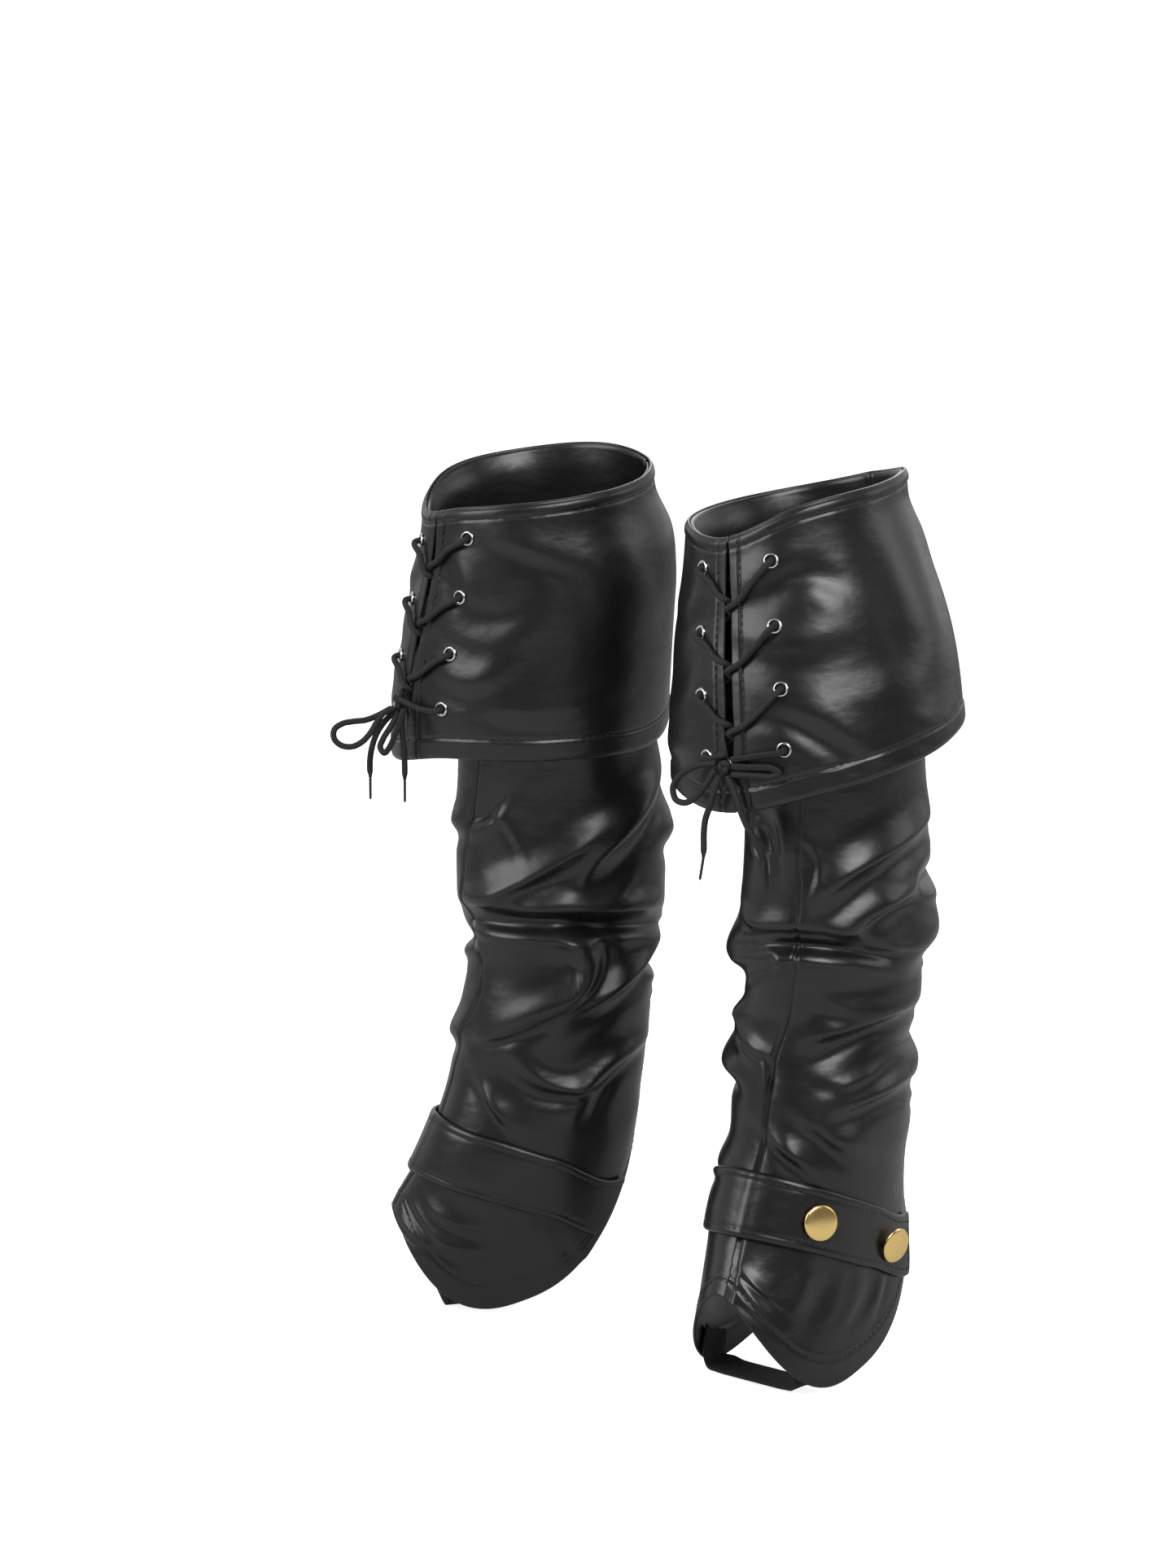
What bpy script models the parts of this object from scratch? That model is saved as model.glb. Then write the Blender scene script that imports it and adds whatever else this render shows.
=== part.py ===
"""A pair of slouchy boot covers, standing as worn, with laced cuffs and strapped ankles.

Each cover is an outer and an inner panel joined down the front and the back, a flared cuff
laced through eight eyelets, an ankle strap with two domed buttons and an elastic under the foot.

Every cover is worked out in its own leg frame: out (away from the other leg), ahead (the way
the spat points) and up from the floor. stand() then places the leg frame in the world, where
the pair faces -Y, the left cover is on +X and the origin is level with the top edges.
"""
import math

import bmesh
import bpy
import numpy as np
from mathutils import Matrix, Vector

# Driving dimensions in metres
HOLD_HEIGHT = 0.484          # origin above the floor
WALL = 0.0015                # sheet thickness, hems averaged in
GAP = 0.0003                 # clearance between pieces that touch
SEAM_GAP = 0.0005            # clearance between two panels along a seam
LACE_RADIUS = 0.00175
EYELET_CUTTER_RADIUS = 0.0030
STRAP_HALF_WIDTH = 0.0165
STRAP_SEAT = 0.0010          # the strap lies loosely, this far off the panels
AGLET_RADIUS = 0.0008
AGLET_LENGTH = 0.0125
ELASTIC_WALL = 0.0014
SHANK_RADIUS = 0.0026

# Stance: sign of the out direction, place of the ankle on the floor, toes turned out in degrees
STANCE = {
    "left": (1, 0.0973, 0.0343, 18.5),
    "right": (-1, -0.0973, -0.0343, 20.3),
}

# Tilted rings down the shaft and the spat. Columns: front height, front reach, back height,
# back reach, half width, shift outward, side drop, share of the top edge's curve, squareness
SHAFT_RINGS = (
    (0.4664, 0.0698, 0.4928, -0.0568, 0.0568, -0.0160, 0.000, 1.0, 1.00),
    (0.4560, 0.0632, 0.4790, -0.0582, 0.0522, -0.0145, 0.000, 0.9, 1.00),
    (0.4360, 0.0585, 0.4530, -0.0615, 0.0500, -0.0120, 0.000, 0.6, 1.00),
    (0.4050, 0.0555, 0.4150, -0.0640, 0.0480, -0.0080, 0.000, 0.3, 1.00),
    (0.3700, 0.0530, 0.3750, -0.0640, 0.0460, -0.0040, 0.000, 0.1, 1.00),
    (0.3380, 0.0510, 0.3400, -0.0640, 0.0450, -0.0010, 0.000, 0.0, 1.00),
    (0.3080, 0.0510, 0.3080, -0.0670, 0.0440, 0.0000, 0.000, 0.0, 1.00),
    (0.2800, 0.0520, 0.2790, -0.0710, 0.0450, 0.0000, 0.000, 0.0, 1.00),
    (0.2520, 0.0520, 0.2500, -0.0700, 0.0460, -0.0010, 0.000, 0.0, 1.00),
    (0.2270, 0.0490, 0.2250, -0.0670, 0.0460, -0.0020, 0.000, 0.0, 1.00),
    (0.2040, 0.0460, 0.2020, -0.0620, 0.0450, -0.0040, 0.000, 0.0, 1.00),
    (0.1810, 0.0500, 0.1800, -0.0610, 0.0445, -0.0060, 0.000, 0.0, 1.00),
    (0.1580, 0.0542, 0.1580, -0.0590, 0.0445, -0.0040, 0.000, 0.0, 0.97),
    (0.1370, 0.0568, 0.1400, -0.0570, 0.0430, -0.0030, 0.004, 0.0, 0.93),
    (0.1190, 0.0622, 0.1290, -0.0550, 0.0425, -0.0045, 0.013, 0.0, 0.90),
    (0.1010, 0.0695, 0.1210, -0.0540, 0.0425, -0.0050, 0.027, 0.0, 0.86),
    (0.0840, 0.0772, 0.1140, -0.0530, 0.0420, -0.0035, 0.044, 0.0, 0.83),
    (0.0700, 0.0850, 0.1080, -0.0520, 0.0420, -0.0010, 0.060, 0.0, 0.81),
    (0.0580, 0.0910, 0.1040, -0.0510, 0.0415, 0.0000, 0.073, 0.0, 0.80),
)

# The cuff's edges. Columns: angle from straight ahead toward the outer side, top, lower edge
CUFF_EDGES = (
    (-180, 0.4940, 0.3500), (-150, 0.4870, 0.3370), (-90, 0.4770, 0.3320),
    (-45, 0.4720, 0.3310), (0, 0.4676, 0.3240), (45, 0.4870, 0.3390),
    (90, 0.4960, 0.3556), (130, 0.5000, 0.3660), (180, 0.4940, 0.3500),
)
# Columns: share of the cuff's height, front reach, back reach, half width, shift outward
CUFF_RINGS = (
    (0.00, 0.0722, -0.0592, 0.0592, -0.0160),
    (0.10, 0.0732, -0.0612, 0.0612, -0.0150),
    (0.25, 0.0765, -0.0710, 0.0665, -0.0125),
    (0.40, 0.0810, -0.0735, 0.0710, -0.0100),
    (0.60, 0.0860, -0.0730, 0.0750, -0.0060),
    (0.80, 0.0890, -0.0720, 0.0780, -0.0030),
    (1.00, 0.0890, -0.0710, 0.0795, 0.0000),
)
SLIT_TURN = {"left": (3.5, 6.0), "right": (-22.0, -22.0)}   # degrees, at the top and the bottom
# Columns: share of the cuff's height, half width of the slit
SLIT_ROWS = ((0.00, 0.0009), (0.11, 0.0022), (0.25, 0.0028), (0.60, 0.0029), (1.00, 0.0031))

# Eyelets on each side of the slit, top to bottom: share of the cuff's height, and distance
# along the cuff from the slit's centre. Key: cover, and 1 for the outer side or -1 for the inner
EYELETS = {
    ("left", 1): ((0.143, 0.0270), (0.372, 0.0285), (0.597, 0.0310), (0.812, 0.0315)),
    ("left", -1): ((0.116, 0.0190), (0.355, 0.0208), (0.580, 0.0195), (0.802, 0.0165)),
    ("right", 1): ((0.120, 0.0210), (0.353, 0.0210), (0.580, 0.0210), (0.802, 0.0210)),
    ("right", -1): ((0.120, 0.0265), (0.353, 0.0275), (0.580, 0.0290), (0.802, 0.0285)),
}

# Where the front seam runs. Columns: height, angle from straight ahead
SEAM_ROWS = {
    "left": ((0.500, 20), (0.310, 23), (0.235, 21), (0.190, 13), (0.147, 7), (0.105, 6), (0.050, 6)),
    "right": ((0.500, -22), (0.310, -28), (0.235, -14), (0.190, -26), (0.150, -10),
              (0.105, -5), (0.050, -2)),
}

# Folds of the loose shaft, each a bent line from one place to the next on the leg.
# Columns: angle and height of its start, middle and end, then how far it stands out (negative
# sinks in) and how wide it is, both in millimetres
FOLDS = {
    "right": (
        (-176, 0.328, -121, 0.287, -84, 0.250, 7.0, 12.0),
        (-118, 0.300, -66, 0.260, -18, 0.246, 5.0, 9.0),
        (12, 0.241, -85, 0.242, -176, 0.236, 5.0, 8.0),
        (14, 0.228, -85, 0.229, -178, 0.222, -4.5, 5.5),
        (-66, 0.232, -98, 0.200, -26, 0.164, 6.0, 9.0),
        (-170, 0.222, -128, 0.198, -76, 0.170, 5.0, 9.0),
        (-172, 0.160, -118, 0.145, -102, 0.108, 4.5, 8.0),
        (-56, 0.160, -88, 0.137, -114, 0.147, 4.0, 7.0),
        (-40, 0.140, -56, 0.125, -74, 0.110, 3.0, 6.0),
        (-48, 0.302, -34, 0.292, -18, 0.287, -4.0, 6.0),
        (-28, 0.291, 4, 0.286, 36, 0.291, 3.5, 9.0),
        (44, 0.215, 10, 0.217, -26, 0.222, -5.5, 7.0),
        (-214, 0.288, -182, 0.282, -148, 0.280, 5.0, 12.0),
        (-204, 0.203, -174, 0.200, -146, 0.205, -4.0, 6.0),
        (-26, 0.172, 4, 0.164, 36, 0.172, 4.0, 10.0),
        (150, 0.318, 84, 0.296, 34, 0.262, 6.0, 12.0),
        (136, 0.274, 84, 0.262, 46, 0.248, 5.0, 9.0),
        (160, 0.236, 90, 0.224, 22, 0.232, -4.0, 6.0),
        (144, 0.212, 80, 0.204, 30, 0.188, 5.0, 10.0),
        (146, 0.172, 84, 0.166, 36, 0.150, 4.5, 9.0),
        (112, 0.134, 70, 0.142, 40, 0.130, 3.5, 7.0),
        (176, 0.300, 150, 0.276, 120, 0.292, 4.0, 10.0),
        (178, 0.196, 150, 0.186, 118, 0.196, 4.0, 9.0),
    ),
    "left": (
        (-44, 0.239, 30, 0.246, 92, 0.232, -5.0, 6.0),
        (-40, 0.251, 30, 0.257, 88, 0.245, 3.0, 8.0),
        (144, 0.314, 71, 0.297, 24, 0.259, 6.0, 11.0),
        (122, 0.282, 74, 0.270, 46, 0.250, 4.5, 9.0),
        (134, 0.208, 74, 0.207, 30, 0.192, 5.5, 9.0),
        (136, 0.167, 84, 0.165, 36, 0.151, 5.5, 9.0),
        (160, 0.183, 128, 0.178, 92, 0.182, -5.0, 6.0),
        (160, 0.279, 128, 0.274, 98, 0.280, -5.0, 7.0),
        (-84, 0.215, -50, 0.211, -20, 0.214, -4.0, 6.0),
        (34, 0.153, 56, 0.142, 82, 0.129, 3.5, 7.0),
        (12, 0.142, 24, 0.135, 40, 0.126, 3.0, 6.0),
        (-14, 0.320, -2, 0.306, 4, 0.290, -6.0, 8.0),
        (8, 0.318, 14, 0.304, 15, 0.286, 3.5, 6.0),
        (-104, 0.252, -56, 0.240, -14, 0.234, 8.5, 13.0),
        (-12, 0.226, -46, 0.198, 2, 0.180, 5.0, 8.0),
        (-98, 0.187, -52, 0.177, -12, 0.171, 7.0, 10.0),
        (-92, 0.134, -54, 0.122, -12, 0.120, 4.0, 9.0),
        (172, 0.254, 130, 0.243, 92, 0.237, 6.5, 11.0),
        (176, 0.180, 140, 0.172, 108, 0.178, 4.0, 9.0),
        (-176, 0.326, -126, 0.290, -84, 0.264, 6.0, 12.0),
        (-168, 0.224, -132, 0.202, -80, 0.192, 5.0, 10.0),
        (-170, 0.160, -122, 0.144, -94, 0.152, 4.5, 9.0),
        (-176, 0.252, -150, 0.238, -112, 0.226, -4.0, 7.0),
    ),
}
FOLD_RADIUS = 0.055          # turns an angle on the leg into a length
SAG = 0.35                   # share of a fold's height by which it also hangs lower

# Soft hollows pressed into the shaft and the cuff over it. Columns: angle, height, depth in
# millimetres, half width in degrees, half height in millimetres
HOLLOWS = {"left": ((128, 0.4665, 7.5, 42, 40),), "right": ((-60, 0.4100, 2.5, 30, 30),)}

# Strap's middle line. Columns: angle, height on the left cover, height on the right cover
STRAP_LINE = (
    (-160, 0.0700, 0.0620), (-125, 0.0665, 0.0605), (-85, 0.0870, 0.0800), (-40, 0.0990, 0.0915),
    (0, 0.1040, 0.0960), (40, 0.0990, 0.0925), (80, 0.0860, 0.0800), (115, 0.0690, 0.0640),
    (160, 0.0700, 0.0640),
)
# Angle of the strap's ends at its top and lower edge: sewn end inside, square end outside
STRAP_ENDS = {"left": ((-140, -120), (131, 128)), "right": ((-140, -120), (131, 128))}
# Rear, middle and front line of the elastic: angle where it meets the lower edge, reach ahead
ELASTIC_EDGES = ((77.0, 0.0400), (66.0, 0.0520), (54.0, 0.0640))
BUTTON_TURNS = (53.0, 103.0)
BUTTON_TILT = {"left": (0.0, -16.0), "right": (0.0, 10.0)}   # degrees, the rear one lolls on its shank

KNOT_AXES = (0.0046, 0.0036, 0.0045)
# The lace beyond the knot, in millimetres in the leg frame: out, ahead, up
KNOT = {"left": (4.4, 93.0, 349.0), "right": (-33.4, 88.8, 356.6)}
LOOPS = {
    "left": (
        ((-1.6, 95.2, 350.6), (-8, 96.6, 349.6), (-16.5, 97.0, 346.4), (-25.6, 96.8, 340.1),
         (-29.1, 96.4, 334.4), (-27.3, 96.6, 328.8), (-21, 97.2, 327.4), (-13.6, 97.6, 330.4),
         (-6.5, 97.6, 337.2), (-1.2, 96.4, 345.4)),
        ((10.2, 92.9, 349.8), (17.5, 91.2, 350.1), (25.5, 88.6, 350.5), (31.5, 86.4, 350.3),
         (34.6, 85.2, 348.3), (31.5, 86.4, 346.2), (24.5, 88.8, 345.9), (16.5, 91.4, 345.8),
         (9.8, 92.9, 345.6)),
    ),
    "right": (
        ((-37.6, 93.8, 356.6), (-38.7, 98.6, 354.6), (-38.7, 102.5, 349.4), (-38, 106.2, 343.2),
         (-37, 110.7, 338.2), (-36, 116.5, 335.4), (-35, 122.5, 336.2), (-34.4, 126.4, 340.2),
         (-34, 126.2, 345.0), (-33.4, 121.5, 348.3), (-32.8, 115.5, 349.3), (-32.2, 108, 349.9),
         (-31.8, 101.8, 352.0), (-32.0, 95.2, 355.4)),
        ((-38.9, 91.4, 352.4), (-41.6, 95.2, 346.8), (-42.9, 99.4, 340.6), (-43.6, 101.2, 335.6),
         (-45.4, 99.2, 332.8), (-46.6, 96.0, 336.8), (-46.2, 93.0, 343.6), (-42.6, 89.4, 351.6)),
    ),
}
TAILS = {
    "left": (
        ((2.7, 96.6, 343.4), (0.9, 97.3, 337.5), (-2.2, 97.0, 328.8), (-6.4, 96.4, 319.5),
         (-7.7, 96.0, 311.0), (-7.8, 95.8, 304.5), (-8.2, 95.6, 298.9)),
        ((8.0, 93.3, 341.4), (10.8, 92.9, 336.0), (14.1, 92.5, 328.0), (17.0, 91.0, 320.0),
         (20.2, 87.4, 311.0), (21.8, 84.4, 304.0), (22.6, 82.8, 299.5)),
    ),
    "right": (
        ((-29.2, 93.6, 351.6), (-27.9, 98.0, 346.6), (-28.0, 101.5, 341.0), (-28.3, 104.2, 333.4),
         (-28.5, 105.4, 326.0), (-28.5, 105.3, 316.2)),
        ((-36.4, 88.0, 350.6), (-36.9, 88.2, 345.6), (-36.7, 87.6, 340.0), (-36.4, 86.9, 333.0),
         (-36.0, 86.5, 325.0), (-36.0, 86.5, 315.2)),
    ),
}
AGLET_LEAN = {"left": ((-0.19, 0.0, -0.98), (0.06, 0.0, -1.0)),
              "right": ((0.0, 0.0, -1.0), (0.0, 0.0, -1.0))}

# Numbers of grid cells
PANEL_COLUMNS = 13
PANEL_BANDS = ((0.0, 5), (0.28, 25), (0.80, 6), (1.0, 0))   # share of the way down, rows from there
CUFF_CELLS = (26, 5)
STRAP_ROWS = 3
STRAP_ROW = -8               # row of the panels' cells at about the height of the strap
EYELET_STEPS = 8
BUTTON_STEPS = 14

MATERIALS = {
    "vinyl": ((0.012, 0.011, 0.012), 0.32, 0.0),
    "elastic": ((0.010, 0.010, 0.011), 0.85, 0.0),
    "lace": ((0.011, 0.011, 0.012), 0.80, 0.0),
    "aglet": ((0.010, 0.010, 0.010), 0.45, 0.0),
    "nickel": ((0.78, 0.77, 0.75), 0.22, 1.0),
    "gold": ((0.86, 0.58, 0.20), 0.20, 1.0),
}


def curve_through(table, at):
    """Smooth curve through a table whose first column says where each row stands."""
    rows = np.asarray(table, float)
    if rows[0, 0] > rows[-1, 0]:
        rows = rows[::-1]
    x, y = rows[:, 0], rows[:, 1:]
    slope = np.gradient(y, x, axis=0)
    at = np.clip(np.asarray(at, float), x[0], x[-1])
    k = np.clip(np.searchsorted(x, at) - 1, 0, len(x) - 2)
    step = (x[k + 1] - x[k])[..., None]
    s = (at - x[k])[..., None] / step
    return ((1 + 2 * s) * (1 - s) ** 2 * y[k] + s * (1 - s) ** 2 * step * slope[k]
            + s * s * (3 - 2 * s) * y[k + 1] + s * s * (s - 1) * step * slope[k + 1])


def smooth_step(low, high, x):
    t = np.clip((x - low) / (high - low), 0, 1)
    return t * t * (3 - 2 * t)


def wrapped(degrees):
    return (degrees + 180.0) % 360.0 - 180.0


def fold_relief(leg, turn, height):
    """How far the folds lift the shaft at an angle in degrees and a height."""
    total = np.zeros(np.shape(turn))
    t = np.linspace(0, 1, 25)
    for a0, h0, a1, h1, a2, h2, crest, reach in FOLDS[leg]:
        start, mid, end = np.array([a0, h0]), np.array([a1, h1]), np.array([a2, h2])
        bend = 2 * mid - (start + end) / 2
        line = (np.outer((1 - t) ** 2, start) + np.outer(2 * t * (1 - t), bend)
                + np.outer(t * t, end))
        along = np.gradient(line * [math.radians(FOLD_RADIUS), 1], axis=0)
        along /= np.linalg.norm(along, axis=1, keepdims=True)
        across = np.stack([-along[:, 1], along[:, 0]], 1)
        across *= np.where(across[:, 1:] < 0, -1, 1)
        dx = wrapped(turn[..., None] - line[:, 0]) * math.radians(FOLD_RADIUS)
        dy = height[..., None] - line[:, 1]
        far = dx * dx + dy * dy
        near = np.exp(-(far - far.min(-1, keepdims=True)) / (2 * 0.004 ** 2))
        near /= near.sum(-1, keepdims=True)
        away = (near * (dx * across[:, 0] + dy * across[:, 1])).sum(-1)
        fade = (near * np.sin(np.pi * t) ** 0.7).sum(-1)
        r = reach / 1000
        ridge = np.exp(-(away / np.where(away > 0, r, 0.65 * r)) ** 2)
        trough = np.exp(-((away + 1.3 * r) / (0.6 * r)) ** 2)
        total += crest / 1000 * fade * (ridge - 0.4 * trough)
    return total


def hollow_depth(leg, turn, height):
    """How deep the soft hollows are at an angle in degrees and a height."""
    total = np.zeros(np.broadcast(turn, height).shape)
    for angle, level, depth, wide, tall in HOLLOWS[leg]:
        away = (wrapped(turn - angle) / wide) ** 2 + ((height - level) / (tall / 1000)) ** 2
        total += depth / 1000 * np.exp(-away)
    return total


def shaft(leg, turn, down):
    """Outer face of the shaft and spat: angle in radians, share of the way down."""
    last = len(SHAFT_RINGS) - 1
    table = [(i / last,) + row for i, row in enumerate(SHAFT_RINGS)]
    row = np.moveaxis(curve_through(table, down), -1, 0)
    front_up, front, back_up, back, width, shift, drop, edge_share, square = row
    sine = np.sign(np.sin(turn)) * np.abs(np.sin(turn)) ** square
    cosine = np.sign(np.cos(turn)) * np.abs(np.cos(turn)) ** square
    fore = (1 + cosine) / 2
    top = curve_through(CUFF_EDGES, wrapped(np.degrees(turn)))[..., 0]
    level_top = CUFF_EDGES[0][1] + (CUFF_EDGES[4][1] - CUFF_EDGES[0][1]) * fore
    up = (back_up + (front_up - back_up) * fore - drop * np.abs(np.sin(turn)) ** 1.5
          + edge_share * (top - level_top))
    lift = fold_relief(leg, np.degrees(turn), up)
    lift *= smooth_step(0.352, 0.334, up) * smooth_step(0.85, 0.77, down)
    lift -= hollow_depth(leg, np.degrees(turn), up)
    out = shift + (width + lift) * sine
    ahead = back + (front - back) * fore + lift * cosine
    return np.stack([out, ahead, up - SAG * np.maximum(lift, 0)], -1)


def cuff(leg, turn, down):
    """Outer face of the cuff: angle in radians, share of the way down."""
    edges = curve_through(CUFF_EDGES, wrapped(np.degrees(turn)))
    front, back, width, shift = np.moveaxis(curve_through(CUFF_RINGS, down), -1, 0)
    up = edges[..., 0] + (edges[..., 1] - edges[..., 0]) * down
    dent = hollow_depth(leg, np.degrees(turn), up)
    ahead = back + (front - back) * (1 + np.cos(turn)) / 2 - dent * np.cos(turn)
    out = shift + (width - dent) * np.sin(turn)
    return np.stack([out, ahead, up], -1)


def outward(surface, leg, turn, down):
    """Unit normal of a surface, pointing away from the leg."""
    e = 0.002
    high, low = np.clip(down + e, 0, 1), np.clip(down - e, 0, 1)
    around = surface(leg, turn + e, down) - surface(leg, turn - e, down)
    downward = surface(leg, turn, high) - surface(leg, turn, low)
    normal = np.cross(around, downward)
    return normal / np.linalg.norm(normal, axis=-1, keepdims=True)


def off_surface(surface, leg, turn, down, distance):
    turn, down = np.asarray(turn, float), np.asarray(down, float)
    lifted = outward(surface, leg, turn, down) * np.asarray(distance)[..., None]
    return surface(leg, turn, down) + lifted


def stand(leg, points):
    """Leg frame (out, ahead, up from the floor) to world coordinates."""
    side, x, y, toes_out = STANCE[leg]
    a = math.radians(toes_out)
    out = np.array([side * math.cos(a), math.sin(a), 0])
    ahead = np.array([side * math.sin(a), -math.cos(a), 0])
    p = np.asarray(points, float)
    ground = np.array([x, y, -HOLD_HEIGHT])
    return ground + p[..., :1] * out + p[..., 1:2] * ahead + p[..., 2:3] * np.array([0, 0, 1])


def slit_turn(leg, down):
    top, bottom = SLIT_TURN[leg]
    return np.radians(top + (bottom - top) * np.asarray(down, float))


def clear_scene():
    for thing in list(bpy.data.objects):
        bpy.data.objects.remove(thing, do_unlink=True)


def make_collection(name):
    group = bpy.data.collections.new(name)
    bpy.context.scene.collection.children.link(group)
    return group


def make_material(name):
    colour, roughness, metallic = MATERIALS[name.rsplit(".", 1)[-1]]
    material = bpy.data.materials.new(name)
    material.use_nodes = True
    shader = material.node_tree.nodes["Principled BSDF"]
    shader.inputs["Base Color"].default_value = (*colour, 1)
    shader.inputs["Roughness"].default_value = roughness
    shader.inputs["Metallic"].default_value = metallic
    return material


def add_object(name, data, look, group):
    thing = bpy.data.objects.new(name, data)
    if not data.materials:
        data.materials.append(make_material(name + "." + look))
    group.objects.link(thing)
    return thing


def add_sheet(leg, name, outer, inner, look, group):
    """Closed wall between two grids of points, with a rim all the way round."""
    rows, columns = outer.shape[:2]
    mesh = bpy.data.meshes.new(name)
    points = stand(leg, np.concatenate([outer.reshape(-1, 3), inner.reshape(-1, 3)]))
    number = np.arange(rows * columns).reshape(rows, columns)
    a, b = number[:-1, :-1], number[1:, :-1]
    c, d = number[1:, 1:], number[:-1, 1:]
    face = np.stack([a, b, c, d], -1).reshape(-1, 4)
    border = np.concatenate([number[0, :-1], number[:-1, -1], number[-1, :0:-1], number[:0:-1, 0]])
    following = np.roll(border, -1)
    shift = rows * columns
    rim = np.stack([border, following, following + shift, border + shift], -1)
    faces = np.concatenate([face, face[:, ::-1] + shift, rim])
    mesh.from_pydata(points.tolist(), [], faces.tolist())
    work = bmesh.new()
    work.from_mesh(mesh)
    bmesh.ops.recalc_face_normals(work, faces=work.faces)
    work.to_mesh(mesh)
    work.free()
    mesh.shade_smooth()
    mesh.set_sharp_from_angle(angle=math.radians(50))
    return add_object(name, mesh, look, group)


def panel_grid(leg, side):
    """Angles and shares of the way down at the corners of a panel's cells, one row per level."""
    levels = [0.0]
    for (start, rows), (end, _) in zip(PANEL_BANDS, PANEL_BANDS[1:]):
        levels.extend(np.linspace(start, end, rows + 1)[1:])
    share, down = np.meshgrid(np.linspace(0, 1, PANEL_COLUMNS + 1), levels)
    height = shaft(leg, np.zeros_like(down), down)[..., 2]
    seam = np.radians(curve_through(SEAM_ROWS[leg], height)[..., 0])
    inset = SEAM_GAP / 2 / FOLD_RADIUS
    start, end = seam + side * inset, side * (math.pi - inset)
    return start + (end - start) * share, down


def panel(leg, side, group):
    """One half of the shaft and spat, from the front seam round to the back seam."""
    turn, down = panel_grid(leg, side)
    outer = shaft(leg, turn, down)
    inner = outer - outward(shaft, leg, turn, down) * WALL
    name = leg + ("_outer_panel" if side > 0 else "_inner_panel")
    add_sheet(leg, name, outer, inner, "vinyl", group)


def share_at(leg, side, degrees):
    """Share of a panel's width where it reaches an angle, on each row of its cells."""
    turn, _ = panel_grid(leg, side)
    return (math.radians(degrees) - turn[:, 0]) / (turn[:, -1] - turn[:, 0])


def on_panel(leg, side, share, height):
    """Point on the flat cells of a panel at a share of its width and a height, and the normal."""
    turn, down = panel_grid(leg, side)
    rows = np.arange(len(turn))
    at = np.broadcast_to(share, rows.shape) * PANEL_COLUMNS
    column = np.clip(at.astype(int), 0, PANEL_COLUMNS - 1)
    part = (at - column)[:, None]
    both = np.concatenate([shaft(leg, turn, down), outward(shaft, leg, turn, down)], -1)
    line = both[rows, column] * (1 - part) + both[rows, column + 1] * part
    place = np.array([np.interp(-height, -line[:, 2], line[:, i]) for i in range(6)])
    return place[:3], place[3:] / np.linalg.norm(place[3:])


def cuff_grid(leg):
    """Angles and shares of the cuff's height at the corners of its cells."""
    columns, rows = CUFF_CELLS
    share, down = np.meshgrid(np.linspace(0, 1, columns + 1), np.linspace(0, 1, rows + 1))
    share = share - 0.06 * np.sin(2 * np.pi * share)
    half = curve_through(SLIT_ROWS, down)[..., 0] / 0.078
    return slit_turn(leg, down) + half + (2 * np.pi - 2 * half) * share, down


def eyelet_seat(leg, side, number):
    """Middle of an eyelet on the flat cell of the cuff that carries it, and the cell's normal."""
    at, arc = EYELETS[leg, side][number]
    middle = slit_turn(leg, at)
    reach = np.linalg.norm(cuff(leg, middle + side * 0.3, at) - cuff(leg, middle, at))
    turns, downs = cuff_grid(leg)
    row = min(int(at * CUFF_CELLS[1]), CUFF_CELLS[1] - 1)
    part = at * CUFF_CELLS[1] - row
    edge = turns[row] * (1 - part) + turns[row + 1] * part
    turn = edge[0] + (middle + side * 0.3 * arc / reach - edge[0]) % (2 * np.pi)
    column = int(np.searchsorted(edge, turn)) - 1
    across = (turn - edge[column]) / (edge[column + 1] - edge[column])
    cell = cuff(leg, turns, downs)[row:row + 2, column:column + 2]
    middle_point = ((cell[0, 0] * (1 - across) + cell[0, 1] * across) * (1 - part)
                    + (cell[1, 0] * (1 - across) + cell[1, 1] * across) * part)
    normal = np.cross(cell[0, 1] - cell[1, 0], cell[1, 1] - cell[0, 0])
    return middle_point, normal / np.linalg.norm(normal)


def frame_at(leg, point, normal):
    """World matrix with its origin at a point of the leg frame and Z along a direction."""
    z = Vector(stand(leg, normal) - stand(leg, np.zeros(3))).normalized()
    up = Vector((0, 0, 1))
    y = (up - z * up.dot(z)).normalized()
    x = y.cross(z)
    frame = Matrix((x, y, z)).transposed().to_4x4()
    frame.translation = Vector(stand(leg, point))
    return frame


def cuff_piece(leg, group, cutters):
    turn, down = cuff_grid(leg)
    outer = cuff(leg, turn, down)
    inner = outer - outward(cuff, leg, turn, down) * WALL
    piece = add_sheet(leg, leg + "_cuff", outer, inner, "vinyl", group)
    tools = bpy.data.meshes.new(leg + "_eyelet_holes")
    work = bmesh.new()
    for number in range(4):
        for side in (1, -1):
            frame = frame_at(leg, *eyelet_seat(leg, side, number))
            bmesh.ops.create_cone(work, cap_ends=True, segments=8, radius1=EYELET_CUTTER_RADIUS,
                                  radius2=EYELET_CUTTER_RADIUS, depth=0.008, matrix=frame)
    work.to_mesh(tools)
    work.free()
    cutter = bpy.data.objects.new(leg + "_eyelet_holes", tools)
    cutter.hide_render = True
    cutter.display_type = "WIRE"
    cutters.objects.link(cutter)
    holes = piece.modifiers.new("eyelet holes", "BOOLEAN")
    holes.operation = "DIFFERENCE"
    holes.solver = "EXACT"
    holes.object = cutter


def turned_mesh(name, profile, look, closed):
    """Profile in the XZ plane, in millimetres, that a Screw modifier turns."""
    mesh = bpy.data.meshes.new(name)
    points = [(x / 1000, 0, z / 1000) for x, z in profile]
    edges = [(i, i + 1) for i in range(len(points) - 1)]
    if closed:
        edges.append((len(points) - 1, 0))
    mesh.from_pydata(points, edges, [])
    mesh.materials.append(make_material(name + "." + look))
    return mesh


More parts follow.
